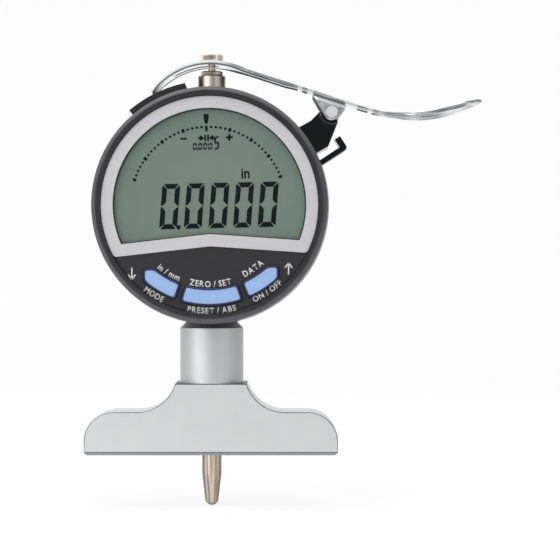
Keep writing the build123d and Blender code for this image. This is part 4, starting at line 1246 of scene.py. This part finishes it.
@dataclass
class ReturnSpring:
    """The coil round the spindle between the carrier and the bush; the real coil closes up as the spindle rises, but
    this one is built at one length and rides on no body.
    """

    wire_radius: float = 0.00017
    inner_radius: float = 0.00256
    turns: float = 7.5
    closed: float = 0.9
    sides: int = 8
    steps: int = 28

    def build(self, paint: Paintbox) -> None:
        """Builds the coil in place of its plain solid, between the same two heights.

        Args:
            paint: the paintbox.
        """
        foot, top = (corner[2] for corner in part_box("return_spring"))
        low, high = foot + self.wire_radius, top - self.wire_radius
        radius = self.inner_radius + self.wire_radius
        end_rise = 2.4 * self.wire_radius * self.closed
        shape = Shape()
        bm = shape.mesh
        rings = []
        count = round(self.turns * self.steps)
        for step in range(count + 1):
            turn = self.turns * step / count
            share = min(1.0, max(0.0, (turn - self.closed) / (self.turns - 2 * self.closed)))
            ends = min(turn, self.closed) + max(0.0, turn - self.turns + self.closed)
            z = low + end_rise * ends / self.closed + (high - low - 2 * end_rise) * share
            angle = math.tau * turn
            ring = []
            for side in range(self.sides):
                around = math.tau * side / self.sides
                out = radius + self.wire_radius * math.cos(around)
                ring.append(bm.verts.new(
                    (out * math.cos(angle), out * math.sin(angle), z + self.wire_radius * math.sin(around))
                ))
            rings.append(ring)
        for ring, following in zip(rings, rings[1:]):
            for side in range(self.sides):
                other = (side + 1) % self.sides
                bm.faces.new((ring[side], ring[other], following[other], following[side]))
        bm.faces.new(rings[0])
        bm.faces.new(rings[-1])
        bmesh.ops.recalc_face_normals(bm, faces=bm.faces[:])
        coil = shape.finish("return_spring_coil", None, "spring_steel", 40)
        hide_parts("return_spring")
        paint.dress(coil, "spring_steel")
        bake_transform(coil)


# ------------------------------------------------------------------- the lever


@dataclass
class LiftingLever:
    """The chromed lever: a slotted tail over the knob, an arm with two ears, and a dished thumb pad."""

    thickness: float = 0.0008
    crown_radius: float = 0.019
    crown_x: float = -0.0002
    crown_top: float = 0.0990
    tail_angle: float = 53.1
    slope: float = 17.9
    arm_length: float = 0.0343
    pad_radius: float = 0.035
    pad_rise: float = 14.5
    pad_tail: float = 0.0106
    arm_width: float = 0.0066
    eye_width: float = 0.011
    eye_end: float = 0.005
    eye_taper: float = 0.005
    pad_width: float = 0.0136
    pad_neck: float = 0.0027
    pad_flare: float = 0.012
    dish_depth: float = 0.00125
    dish_end: float = 0.0070
    slot_width: float = 0.0024
    slot_ends: tuple[float, float] = (-0.010, 0.002)
    rim_round: float = 0.00016
    pivot: tuple[float, float] = (0.0303, 0.08615)
    ear_reach: tuple[float, float] = (0.0048, 0.0037)
    ear_radius: float = 0.0023
    ear_shoulder: float = 21.2
    ear_edge: float = 0.00022
    hem: float = 0.0003
    hem_end: float = 0.0215
    # painted highlights: their places along X and their half widths, in millimetres
    glints: tuple[Point, ...] = ((22.3, 0.45), (24.9, 0.6), (35.2, 1.5), (40.0, 0.4))

    def __post_init__(self) -> None:
        """Works out where the crown, arm, pad and tip meet."""
        slope, rise = math.radians(self.slope), math.radians(self.pad_rise)
        self.crown_z = self.crown_top - self.crown_radius
        self.tail_x = self.crown_x - self.crown_radius * math.sin(math.radians(self.tail_angle))
        self.arm_start = (
            self.crown_x + self.crown_radius * math.sin(slope), self.crown_z + self.crown_radius * math.cos(slope)
        )
        self.arm_end = (
            self.arm_start[0] + self.arm_length * math.cos(slope), self.arm_start[1] - self.arm_length * math.sin(slope)
        )
        self.pad_centre = (
            self.arm_end[0] + self.pad_radius * math.sin(slope), self.arm_end[1] + self.pad_radius * math.cos(slope)
        )
        self.pad_end = (
            self.pad_centre[0] + self.pad_radius * math.sin(rise), self.pad_centre[1] - self.pad_radius * math.cos(rise)
        )
        self.tip_x = self.pad_end[0] + self.pad_tail * math.cos(rise)
        self.pad_start = self.arm_end[0] + self.pad_neck

    def top(self, x: float) -> float:
        """The height of the lever's upper face, without its dish, at an X."""
        if x <= self.arm_start[0]:
            return self.crown_z + math.sqrt(self.crown_radius**2 - (x - self.crown_x) ** 2)
        if x <= self.arm_end[0]:
            return self.arm_start[1] - (x - self.arm_start[0]) * math.tan(math.radians(self.slope))
        if x <= self.pad_end[0]:
            return self.pad_centre[1] - math.sqrt(self.pad_radius**2 - (x - self.pad_centre[0]) ** 2)
        return self.pad_end[1] + (x - self.pad_end[0]) * math.tan(math.radians(self.pad_rise))

    def half_width(self, x: float) -> float:
        """Half the lever's width at an X."""
        pad = self.pad_width / 2
        if x > self.tip_x - pad:
            return math.sqrt(max(pad**2 - (x - self.tip_x + pad) ** 2, 0.0))
        if x > self.pad_start:
            share = min(1.0, (x - self.pad_start) / self.pad_flare)
            return self.arm_width / 2 + (pad - self.arm_width / 2) * share * share * (3 - 2 * share)
        share = min(1.0, max(0.0, (x - self.eye_end) / self.eye_taper))
        return (self.eye_width + (self.arm_width - self.eye_width) * share * share * (3 - 2 * share)) / 2

    def dish(self, x: float, y: float) -> float:
        """How far the pad is pressed down at a place."""
        width = self.half_width(x)
        if x <= self.pad_start or width <= 0:
            return 0.0
        share = min(1.0, (x - self.pad_start) / (1.5 * self.pad_flare))
        end = min(1.0, max(0.0, (self.tip_x - x) / self.dish_end))
        bowl = max(0.0, 1 - (y / width) ** 2)
        return self.dish_depth * share * share * (3 - 2 * share) * bowl * (1 - (1 - end) ** 2)

    def half_blank(self) -> list[Point]:
        """Half the lever's flat outline, with half the slot let into its straight side."""
        left, right = self.slot_ends
        r = self.slot_width / 2
        points = [(self.tail_x, 0.0)]
        for middle, angles in ((left + r, range(180, 89, -15)), (right - r, range(90, -1, -15))):
            points += [(middle + r * math.cos(math.radians(a)), r * math.sin(math.radians(a))) for a in angles]
        pad = self.pad_width / 2
        points += [
            (self.tip_x - pad + pad * math.cos(math.radians(a)), pad * math.sin(math.radians(a))) for a in range(0, 91, 6)
        ]
        bends = [self.pad_start + self.pad_flare * i / 12 for i in range(12, -1, -1)]
        bends += [self.eye_end + self.eye_taper * i / 8 for i in range(8, -1, -1)]
        points += [(x, self.half_width(x)) for x in bends]
        corner = 0.0012
        middle = (self.tail_x + corner, self.eye_width / 2 - corner)
        points += [
            (middle[0] + corner * math.cos(math.radians(a)), middle[1] + corner * math.sin(math.radians(a)))
            for a in range(90, 181, 15)
        ]
        return points

    def sheet(self) -> Shape:
        """The lever's bent and dished sheet."""
        shape = Shape()
        bm = shape.mesh
        shape.polygon(self.half_blank())
        cuts = [self.tail_x + (self.tip_x - self.tail_x) * (1 - math.cos(math.pi * i / 90)) / 2 for i in range(1, 90)]
        for x in cuts:
            bmesh.ops.bisect_plane(bm, geom=[*bm.verts, *bm.edges, *bm.faces], plane_co=(x, 0, 0), plane_no=(1, 0, 0))
        for number in range(1, 9):
            y = self.pad_width / 2 * number / 9
            bmesh.ops.bisect_plane(bm, geom=[*bm.verts, *bm.edges, *bm.faces], plane_co=(0, y, 0), plane_no=(0, 1, 0))
        bmesh.ops.mirror(bm, geom=[*bm.verts, *bm.edges, *bm.faces], axis="Y", merge_dist=1e-6)
        for vert in bm.verts:
            x, y, _ = vert.co
            vert.co.z = self.top(x) - self.dish(x, y)
        bmesh.ops.recalc_face_normals(bm, faces=bm.faces[:])
        if sum(f.normal.z for f in bm.faces) < 0:
            bmesh.ops.reverse_faces(bm, faces=bm.faces[:])
        bmesh.ops.solidify(bm, geom=bm.faces[:], thickness=self.thickness)
        for vert in bm.verts:
            x, y, z = vert.co
            if z < self.top(x) - self.dish(x, y) - self.thickness / 2:
                share = min(1.0, max(0.0, (self.hem_end - x) / 0.003))
                vert.co.z -= self.hem * share
        self.round_edges(bm, self.rim_round)
        return shape

    @staticmethod
    def round_edges(bm: bmesh.types.BMesh, size: float) -> None:
        """Rounds every sharp edge of a mesh."""
        bm.normal_update()
        sharp = [e for e in bm.edges if e.is_manifold and e.calc_face_angle() > math.radians(55)]
        bmesh.ops.bevel(bm, geom=sharp, offset=size, segments=2, profile=0.5, affect="EDGES", material=-1,
                        clamp_overlap=True)
        bmesh.ops.recalc_face_normals(bm, faces=bm.faces[:])

    def ear(self, side: int) -> Shape:
        """One ear: a plate under the arm that narrows to the pivot pin.

        Args:
            side: -1 for the front ear and 1 for the rear one.

        Returns:
            The plate.
        """
        shape = Shape()
        px, pz = self.pivot
        under = self.thickness * 0.6
        left, right = px - self.ear_reach[0], px + self.ear_reach[1]
        lip = self.thickness * 1.5
        angles = [180 + self.ear_shoulder + i * (180 - 2 * self.ear_shoulder) / 14 for i in range(15)]
        points = [(left, self.top(left) - under), (left, self.top(left) - under - lip)]
        points += [
            (px + self.ear_radius * math.cos(math.radians(a)), pz + self.ear_radius * math.sin(math.radians(a)))
            for a in angles
        ]
        points += [(right, self.top(right) - under - lip), (right, self.top(right) - under)]
        shape.polygon(points)
        shape.raise_by(self.thickness)
        self.round_edges(shape.mesh, self.ear_edge)
        outer = self.arm_width / 2
        depth = -outer + self.thickness if side < 0 else outer
        shape.transform(Matrix(((1, 0, 0, 0), (0, 0, -1, depth), (0, 1, 0, 0), (0, 0, 0, 1))))
        return shape

    def depth(self, x: Value, z: Value) -> Value:
        """How far each point lies below the lever's upper line, in millimetres.

        Args:
            x: the point's X in millimetres.
            z: its Z in millimetres.

        Returns:
            The depth, measured square to the crown, arm, pad and tip in turn.
        """

        def from_line(start: Point, angle: float) -> Value:
            """Depth below a line through a point, which falls by an angle."""
            turn = math.radians(angle)
            return (x - start[0] * 1000) * -math.sin(turn) + (z - start[1] * 1000) * -math.cos(turn)

        def from_arc(middle: Point, radius: float) -> Value:
            """How much farther each point is from an arc's middle than the arc."""
            dx, dz = x - middle[0] * 1000, z - middle[1] * 1000
            return (dx * dx + dz * dz).math("SQRT") - radius * 1000

        crown = from_arc((self.crown_x, self.crown_z), self.crown_radius) * -1
        spans = [
            (self.arm_start[0], from_line(self.arm_start, self.slope)),
            (self.arm_end[0], from_arc(self.pad_centre, self.pad_radius)),
            (self.pad_end[0], from_line(self.pad_end, -self.pad_rise)),
        ]
        depth = crown
        for start, beyond in spans:
            depth = depth + (beyond - depth) * x.math("GREATER_THAN", start * 1000)
        return depth

    def plating_and_painted_light(self) -> bpy.types.Material:
        """The lever's bright chrome, with its reflections, highlights and shade painted into its colour along the bent
        sheet.

        Returns:
            The finished material.
        """
        graph = Graph("lever_plating_and_painted_light")
        x, y, z = graph.axes()
        depth = self.depth(x, z)
        facing = graph.node("ShaderNodeSeparateXYZ", None, {0: graph.node("ShaderNodeTexCoord").outputs["Normal"]})
        under = graph.value(facing, 2).ramp(-0.8, -0.5, 1.0, 0.0)
        above = graph.value(facing, 2).ramp(0.5, 0.8)
        side = 1 - above - under
        arm, pad = x.ramp(2.0, 8.0), x.ramp(41.0, 44.0)
        bright, grey, dark = (0.93, 0.935, 0.94), (0.36, 0.37, 0.39), (0.085, 0.088, 0.094)
        foot = self.thickness * 1000

        # painted reflection: bright and grey streaks along the sheet, greyer on the upper face and on the side of the
        # pad's flare
        streaks = graph.noise(graph.vector(x * 0.11, y * 0.4, depth * 1.5), 1.3, 4, 0.6)
        tone = graph.mix(streaks.ramp(0.40, 0.60) * (arm * 0.75 + 0.25) * (1 - above * 0.8), bright, grey)
        tone = graph.mix(above * 0.75, tone, (0.66, 0.67, 0.69))
        flare = x.ramp(40.6, 41.3) * x.ramp(47.5, 50.0, 1.0, 0.0) * side
        tone = graph.mix(flare * 0.75, tone, grey)

        # painted shade and reflection: dark lines along the arm, its lower edge and its underside at the rear, broken
        # lines and bands on the pad, and a darker neck
        middle_line = depth.ramp(0.22, 0.36) * depth.ramp(0.44, 0.58, 1.0, 0.0) * arm * side * 0.6
        lower_line = depth.ramp(foot * 0.72, foot * 0.92) * side * 0.9
        rear_line = (y + arm * 5.0).ramp(3.0, 3.9) * under * (1 - pad) * 0.95
        pad_upper = depth.ramp(0.10, 0.24) * depth.ramp(0.50, 0.66, 1.0, 0.0)
        pad_lower = depth.ramp(0.80, 1.05) * x.ramp(55.0, 63.0, 0.9, 0.12)
        broken = (streaks - 0.2).ramp(0.10, 0.45, 0.45, 1.0)
        pad_lines = (pad_upper + pad_lower).math("MINIMUM", 1.0) * broken * pad * (1 - above) * 0.85
        # painted highlight: bright glints at the listed places along X
        glint = (x - self.glints[0][0]).math("ABSOLUTE").ramp(self.glints[0][1], self.glints[0][1] + 0.25, 1.0, 0.0)
        for spot, half in self.glints[1:]:
            glint = (x - spot).math("ABSOLUTE").ramp(half, half + 0.25, 1.0, 0.0) + glint
        glint = glint * (1 - above) * 0.9
        tone = graph.mix(glint, tone, bright)
        shadow = middle_line.math("MAXIMUM", lower_line).math("MAXIMUM", rear_line)
        neck = x.ramp(42.5, 44.5) * x.ramp(48.5, 51.5, 1.0, 0.0) * (1 - above) * 0.45
        pad_band = depth.ramp(0.12, 0.35) * depth.ramp(0.95, 1.30, 1.0, 0.0) * x.ramp(54.0, 58.0) * x.ramp(63.0, 65.0, 1.0, 0.3)
        pad_band = pad_band * (1 - above) * 0.78
        shadow = shadow.math("MAXIMUM", pad_lines).math("MAXIMUM", neck).math("MAXIMUM", pad_band) * (1 - glint)

        # painted reflection on the ears: mottled greys, a bright line at the bend and a dark rim along the left side
        mottle = graph.noise(graph.place((0.8, 0.8, 0.8), (2.0, 5.0, 1.0)), 1.4, 4, 0.6)
        ear = depth.ramp(1.20, 1.34) * x.ramp(34.6, 35.0, 1.0, 0.0) * (1 - under)
        ear_tone = graph.mix(mottle.ramp(0.35, 0.65), (0.36, 0.375, 0.40), (0.62, 0.635, 0.66))
        tone = graph.mix(ear, tone, ear_tone)
        bend = depth.ramp(1.25, 1.45) * depth.ramp(1.85, 2.1, 1.0, 0.0) * ear
        tone = graph.mix(bend, tone, bright)
        left, corner = self.ear_side()
        run, fall = corner[0] - left[0], left[1] - corner[1]
        length = math.hypot(run, fall)
        inside = (x - left[0] * 1000) * (fall / length) + (z - left[1] * 1000) * (run / length)
        rim = inside.ramp(0.22, 0.42, 1.0, 0.0) * ear * 0.9
        shadow = (shadow * (1 - ear)).math("MAXIMUM", rim)
        # where painted shade lies the surface is made less metallic, so that it stays dark
        graph.set(
            base_color=graph.mix(shadow, tone, dark),
            metallic=(1 - shadow) * (1 - (1 - arm) * side * 0.55),
            roughness=(mottle - 0.5) * 0.12 + (streaks - 0.5) * 0.10 + 0.19,
            specular_ior_level=0.0,
        )
        graph.bump(streaks, 0.3, 0.000004)
        return graph.material

    def ear_side(self) -> tuple[Point, Point]:
        """The two ends of an ear's straight left side: under the arm, and at its round end."""
        left = self.pivot[0] - self.ear_reach[0]
        turn = math.radians(180 + self.ear_shoulder)
        corner = (self.pivot[0] + self.ear_radius * math.cos(turn), self.pivot[1] + self.ear_radius * math.sin(turn))
        return (left, self.top(left) - self.thickness * 2.1), corner

    def build(self, paint: Paintbox) -> None:
        """Builds the lever in place of its plain solid.

        Args:
            paint: the paintbox; not used.
        """
        shape = self.sheet()
        for side in (-1, 1):
            ear = self.ear(side)
            data = bpy.data.meshes.new("ear")
            ear.mesh.to_mesh(data)
            ear.mesh.free()
            shape.mesh.from_mesh(data)
        lever = shape.finish("lifting_lever_plated", "lever", "chrome_plate", 40)
        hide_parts("lifting_lever")
        lever.data.materials.append(self.plating_and_painted_light())


# -------------------------------------------------------------------- the base


@dataclass
class BaseBlock:
    """The ground base with its front and rear edges broken; the broken edges and its top are painted dark as shade, so
    that a dark line runs round its face, and the foot's chamfers are painted a shaded grey.
    """

    half_depth: float = 0.008
    edge: float = 0.00022
    foot_chamfer: float = 0.00072
    top: float = 0.0179

    def build(self, paint: Paintbox) -> None:
        """Builds the base from a copy of its solid.

        Args:
            paint: the paintbox.
        """
        shape = Shape()
        bm = shape.mesh
        bm.from_mesh(frame["nodes"]["depth_base"].data)
        bmesh.ops.remove_doubles(bm, verts=bm.verts[:], dist=1e-6)
        bmesh.ops.dissolve_limit(bm, angle_limit=math.radians(0.5), verts=bm.verts[:], edges=bm.edges[:])
        bm.normal_update()
        flat = {f for f in bm.faces if abs(f.normal.y) > 0.999 and abs(f.calc_center_median().y) > self.half_depth - 1e-5}
        rim = [e for e in bm.edges if len(e.link_faces) == 2 and sum(f in flat for f in e.link_faces) == 1]
        cut = bmesh.ops.bevel(
            bm, geom=rim, offset=self.edge, segments=1, profile=0.5, affect="EDGES", material=-1, clamp_overlap=True
        )
        # painted shade: the broken edges' faces take the dark second finish
        for face in cut["faces"]:
            face.material_index = 1
        # painted shade: the foot's downward chamfers take the grey third finish, and the top faces by the collar's foot
        # the dark second one
        for face in bm.faces:
            middle = face.calc_center_median()
            if middle.z < self.foot_chamfer and -0.9 < face.normal.z < -0.4:
                face.material_index = 2
            elif middle.z > self.top - self.edge and face.normal.z > 0.4:
                face.material_index = 1
        bmesh.ops.recalc_face_normals(bm, faces=bm.faces[:])
        block = shape.finish("base_block", "case", "satin_steel", 12)
        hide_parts("depth_base")
        # bare steel, then the dark and the grey painted shade
        for name in ("satin_steel", "edge_painted_shade", "foot_painted_shade"):
            block.data.materials.append(paint.material(name))


# --------------------------------------------------------------- camera, stage


@dataclass
class Studio:
    """The camera at the photograph's place, a pale seamless backdrop and soft light."""

    camera_at: tuple[float, float, float] = (0.01727, -0.500, 0.0438)
    lens: float = 126.8
    floor_z: float = -0.01325
    floor_half_width: float = 0.62
    floor_front: float = -0.36
    sweep_start: float = 0.55
    sweep_radius: float = 0.40
    wall_height: float = 0.5
    whiteness: float = 0.82
    sky: tuple[tuple[float, float], ...] = (
        (-180, 0.90), (-135, 0.62), (-100, 0.50), (-66, 1.00), (-42, 1.20), (-24, 0.62), (0, 0.66), (20, 0.50),
        (40, 0.86), (58, 0.78), (82, 0.30), (122, 0.26), (152, 0.62), (180, 0.90),
    )
    ceiling: float = 1.05
    ground: float = 0.42

    def camera(self) -> None:
        """Sets the camera, which looks along +Y."""
        data = bpy.data.cameras.new("camera")
        data.lens = self.lens
        data.sensor_width = 36.0
        data.clip_start, data.clip_end = 0.05, 20.0
        obj = bpy.data.objects.new("camera", data)
        obj.location = self.camera_at
        obj.rotation_euler = (math.radians(90), 0, 0)
        bpy.context.scene.collection.objects.link(obj)
        bpy.context.scene.camera = obj

    def backdrop(self) -> None:
        """Lays the floor and sweeps it up behind: pale, with the object's soft shadow on it."""
        shape = Shape()
        bm = shape.mesh
        front = [bm.verts.new((side * self.floor_half_width, self.floor_front, self.floor_z)) for side in (-1, 1)]
        edge = bm.edges.new(front)

        def pull(edges: list[bmesh.types.BMEdge], way: Vector) -> list[bmesh.types.BMEdge]:
            """Draws an edge out into a new face and returns the face's far edge."""
            made = bmesh.ops.extrude_edge_only(bm, edges=edges)["geom"]
            bmesh.ops.translate(bm, verts=[g for g in made if isinstance(g, bmesh.types.BMVert)], vec=way)
            return [g for g in made if isinstance(g, bmesh.types.BMEdge)]

        edges = pull([edge], Vector((0, self.sweep_start - self.floor_front, 0)))
        ends = list(edges[0].verts)
        spun = bmesh.ops.spin(
            bm, geom=[*ends, edges[0]], cent=(0, self.sweep_start, self.floor_z + self.sweep_radius), axis=(1, 0, 0),
            angle=math.radians(90), steps=24,
        )
        pull([g for g in spun["geom_last"] if isinstance(g, bmesh.types.BMEdge)], Vector((0, 0, self.wall_height)))
        bmesh.ops.recalc_face_normals(bm, faces=bm.faces[:])
        data = bpy.data.meshes.new("backdrop")
        bm.to_mesh(data)
        bm.free()
        data.shade_smooth()
        obj = bpy.data.objects.new("backdrop", data)
        bpy.context.scene.collection.objects.link(obj)
        graph = Graph("backdrop")
        graph.set(base_color=(0.85, 0.85, 0.85), roughness=0.9, specular_ior_level=0.0)
        path = graph.node("ShaderNodeLightPath")
        seen = graph.value(path, "Is Camera Ray").math("MAXIMUM", graph.value(path, "Is Transmission Ray"))
        seen = seen.math("MAXIMUM", graph.value(path, "Is Glossy Ray"))
        glow = graph.node("ShaderNodeEmission", None, {"Color": (1.0, 1.0, 1.0), "Strength": 1.0})
        blend = graph.node("ShaderNodeMixShader")
        graph.feed(blend.inputs[0], seen * self.whiteness)
        graph.join(graph.shader.outputs[0], blend.inputs[1])
        graph.join(glow.outputs[0], blend.inputs[2])
        graph.join(blend.outputs[0], graph.output.inputs["Surface"])
        data.materials.append(graph.material)

    def surroundings(self) -> None:
        """Sets the world: a pale ceiling, a dimmer ground, and lighter and darker walls round about."""
        world = bpy.data.worlds.new("studio")
        bpy.context.scene.world = world
        nodes = Nodes(world)
        toward = nodes.node("ShaderNodeTexCoord").outputs["Generated"]
        split = nodes.node("ShaderNodeSeparateXYZ", None, {0: toward})
        x, y, z = (nodes.value(split, axis) for axis in range(3))
        turn = x.math("ARCTAN2", y * -1) / (2 * math.pi) + 0.5
        walls = nodes.node(
            "ShaderNodeValToRGB", {"stops": [(angle / 360 + 0.5, (level,) * 3) for angle, level in self.sky]}, {0: turn}
        )
        upper = nodes.mix(z.ramp(0.25, 0.85), walls.outputs[0], (self.ceiling,) * 3)
        whole = nodes.mix(z.ramp(-0.10, -0.60), upper, (self.ground,) * 3)
        lit = nodes.node("ShaderNodeBackground", None, {"Color": whole, "Strength": 1.0})
        seen = nodes.node("ShaderNodeBackground", None, {"Color": (1.0, 1.0, 1.0), "Strength": 1.0})
        path = nodes.node("ShaderNodeLightPath")
        blend = nodes.node("ShaderNodeMixShader", None, {0: path.outputs["Is Camera Ray"]})
        nodes.join(lit.outputs[0], blend.inputs[1])
        nodes.join(seen.outputs[0], blend.inputs[2])
        output = nodes.node("ShaderNodeOutputWorld")
        nodes.join(blend.outputs[0], output.inputs["Surface"])

    def lamp(self, name: str, at: Sequence[float], size: Point, power: float) -> None:
        """Hangs a soft rectangular lamp that faces the object.

        Args:
            name: the lamp's name.
            at: its place.
            size: its width and height.
            power: its power in watts.
        """
        data = bpy.data.lights.new(name, "AREA")
        data.shape = "RECTANGLE"
        data.size, data.size_y = size
        data.energy = power
        obj = bpy.data.objects.new(name, data)
        obj.location = at
        obj.rotation_euler = (Vector((0, 0, 0.045)) - Vector(at)).to_track_quat("-Z", "Y").to_euler()
        bpy.context.scene.collection.objects.link(obj)

    def build(self) -> None:
        """Builds the whole studio."""
        self.camera()
        self.backdrop()
        self.surroundings()
        self.lamp("overhead", (-0.10, -0.20, 0.75), (0.8, 0.6), 3.0)
        self.lamp("left_front", (-0.55, -0.60, 0.30), (0.7, 0.7), 2.2)
        bpy.context.scene.view_settings.view_transform = "Standard"


def main() -> None:
    """Builds the gauge's looks in order."""
    logging.basicConfig(level=logging.INFO, format="%(name)s: %(message)s")
    paint = Paintbox(FINISHES)
    paint.dress_frame(frame["nodes"], frame["record"])
    for part in (
        DisplayGraphics(), PanelPrint(), WindowSealShadow(), LiftingKnob(), BushRim(), ReturnSpring(), LiftingLever(), BaseBlock(),
    ):
        part.build(paint)
        log.info("%s built", type(part).__name__)
    Studio().build()


if __name__ == "__main__":
    main()
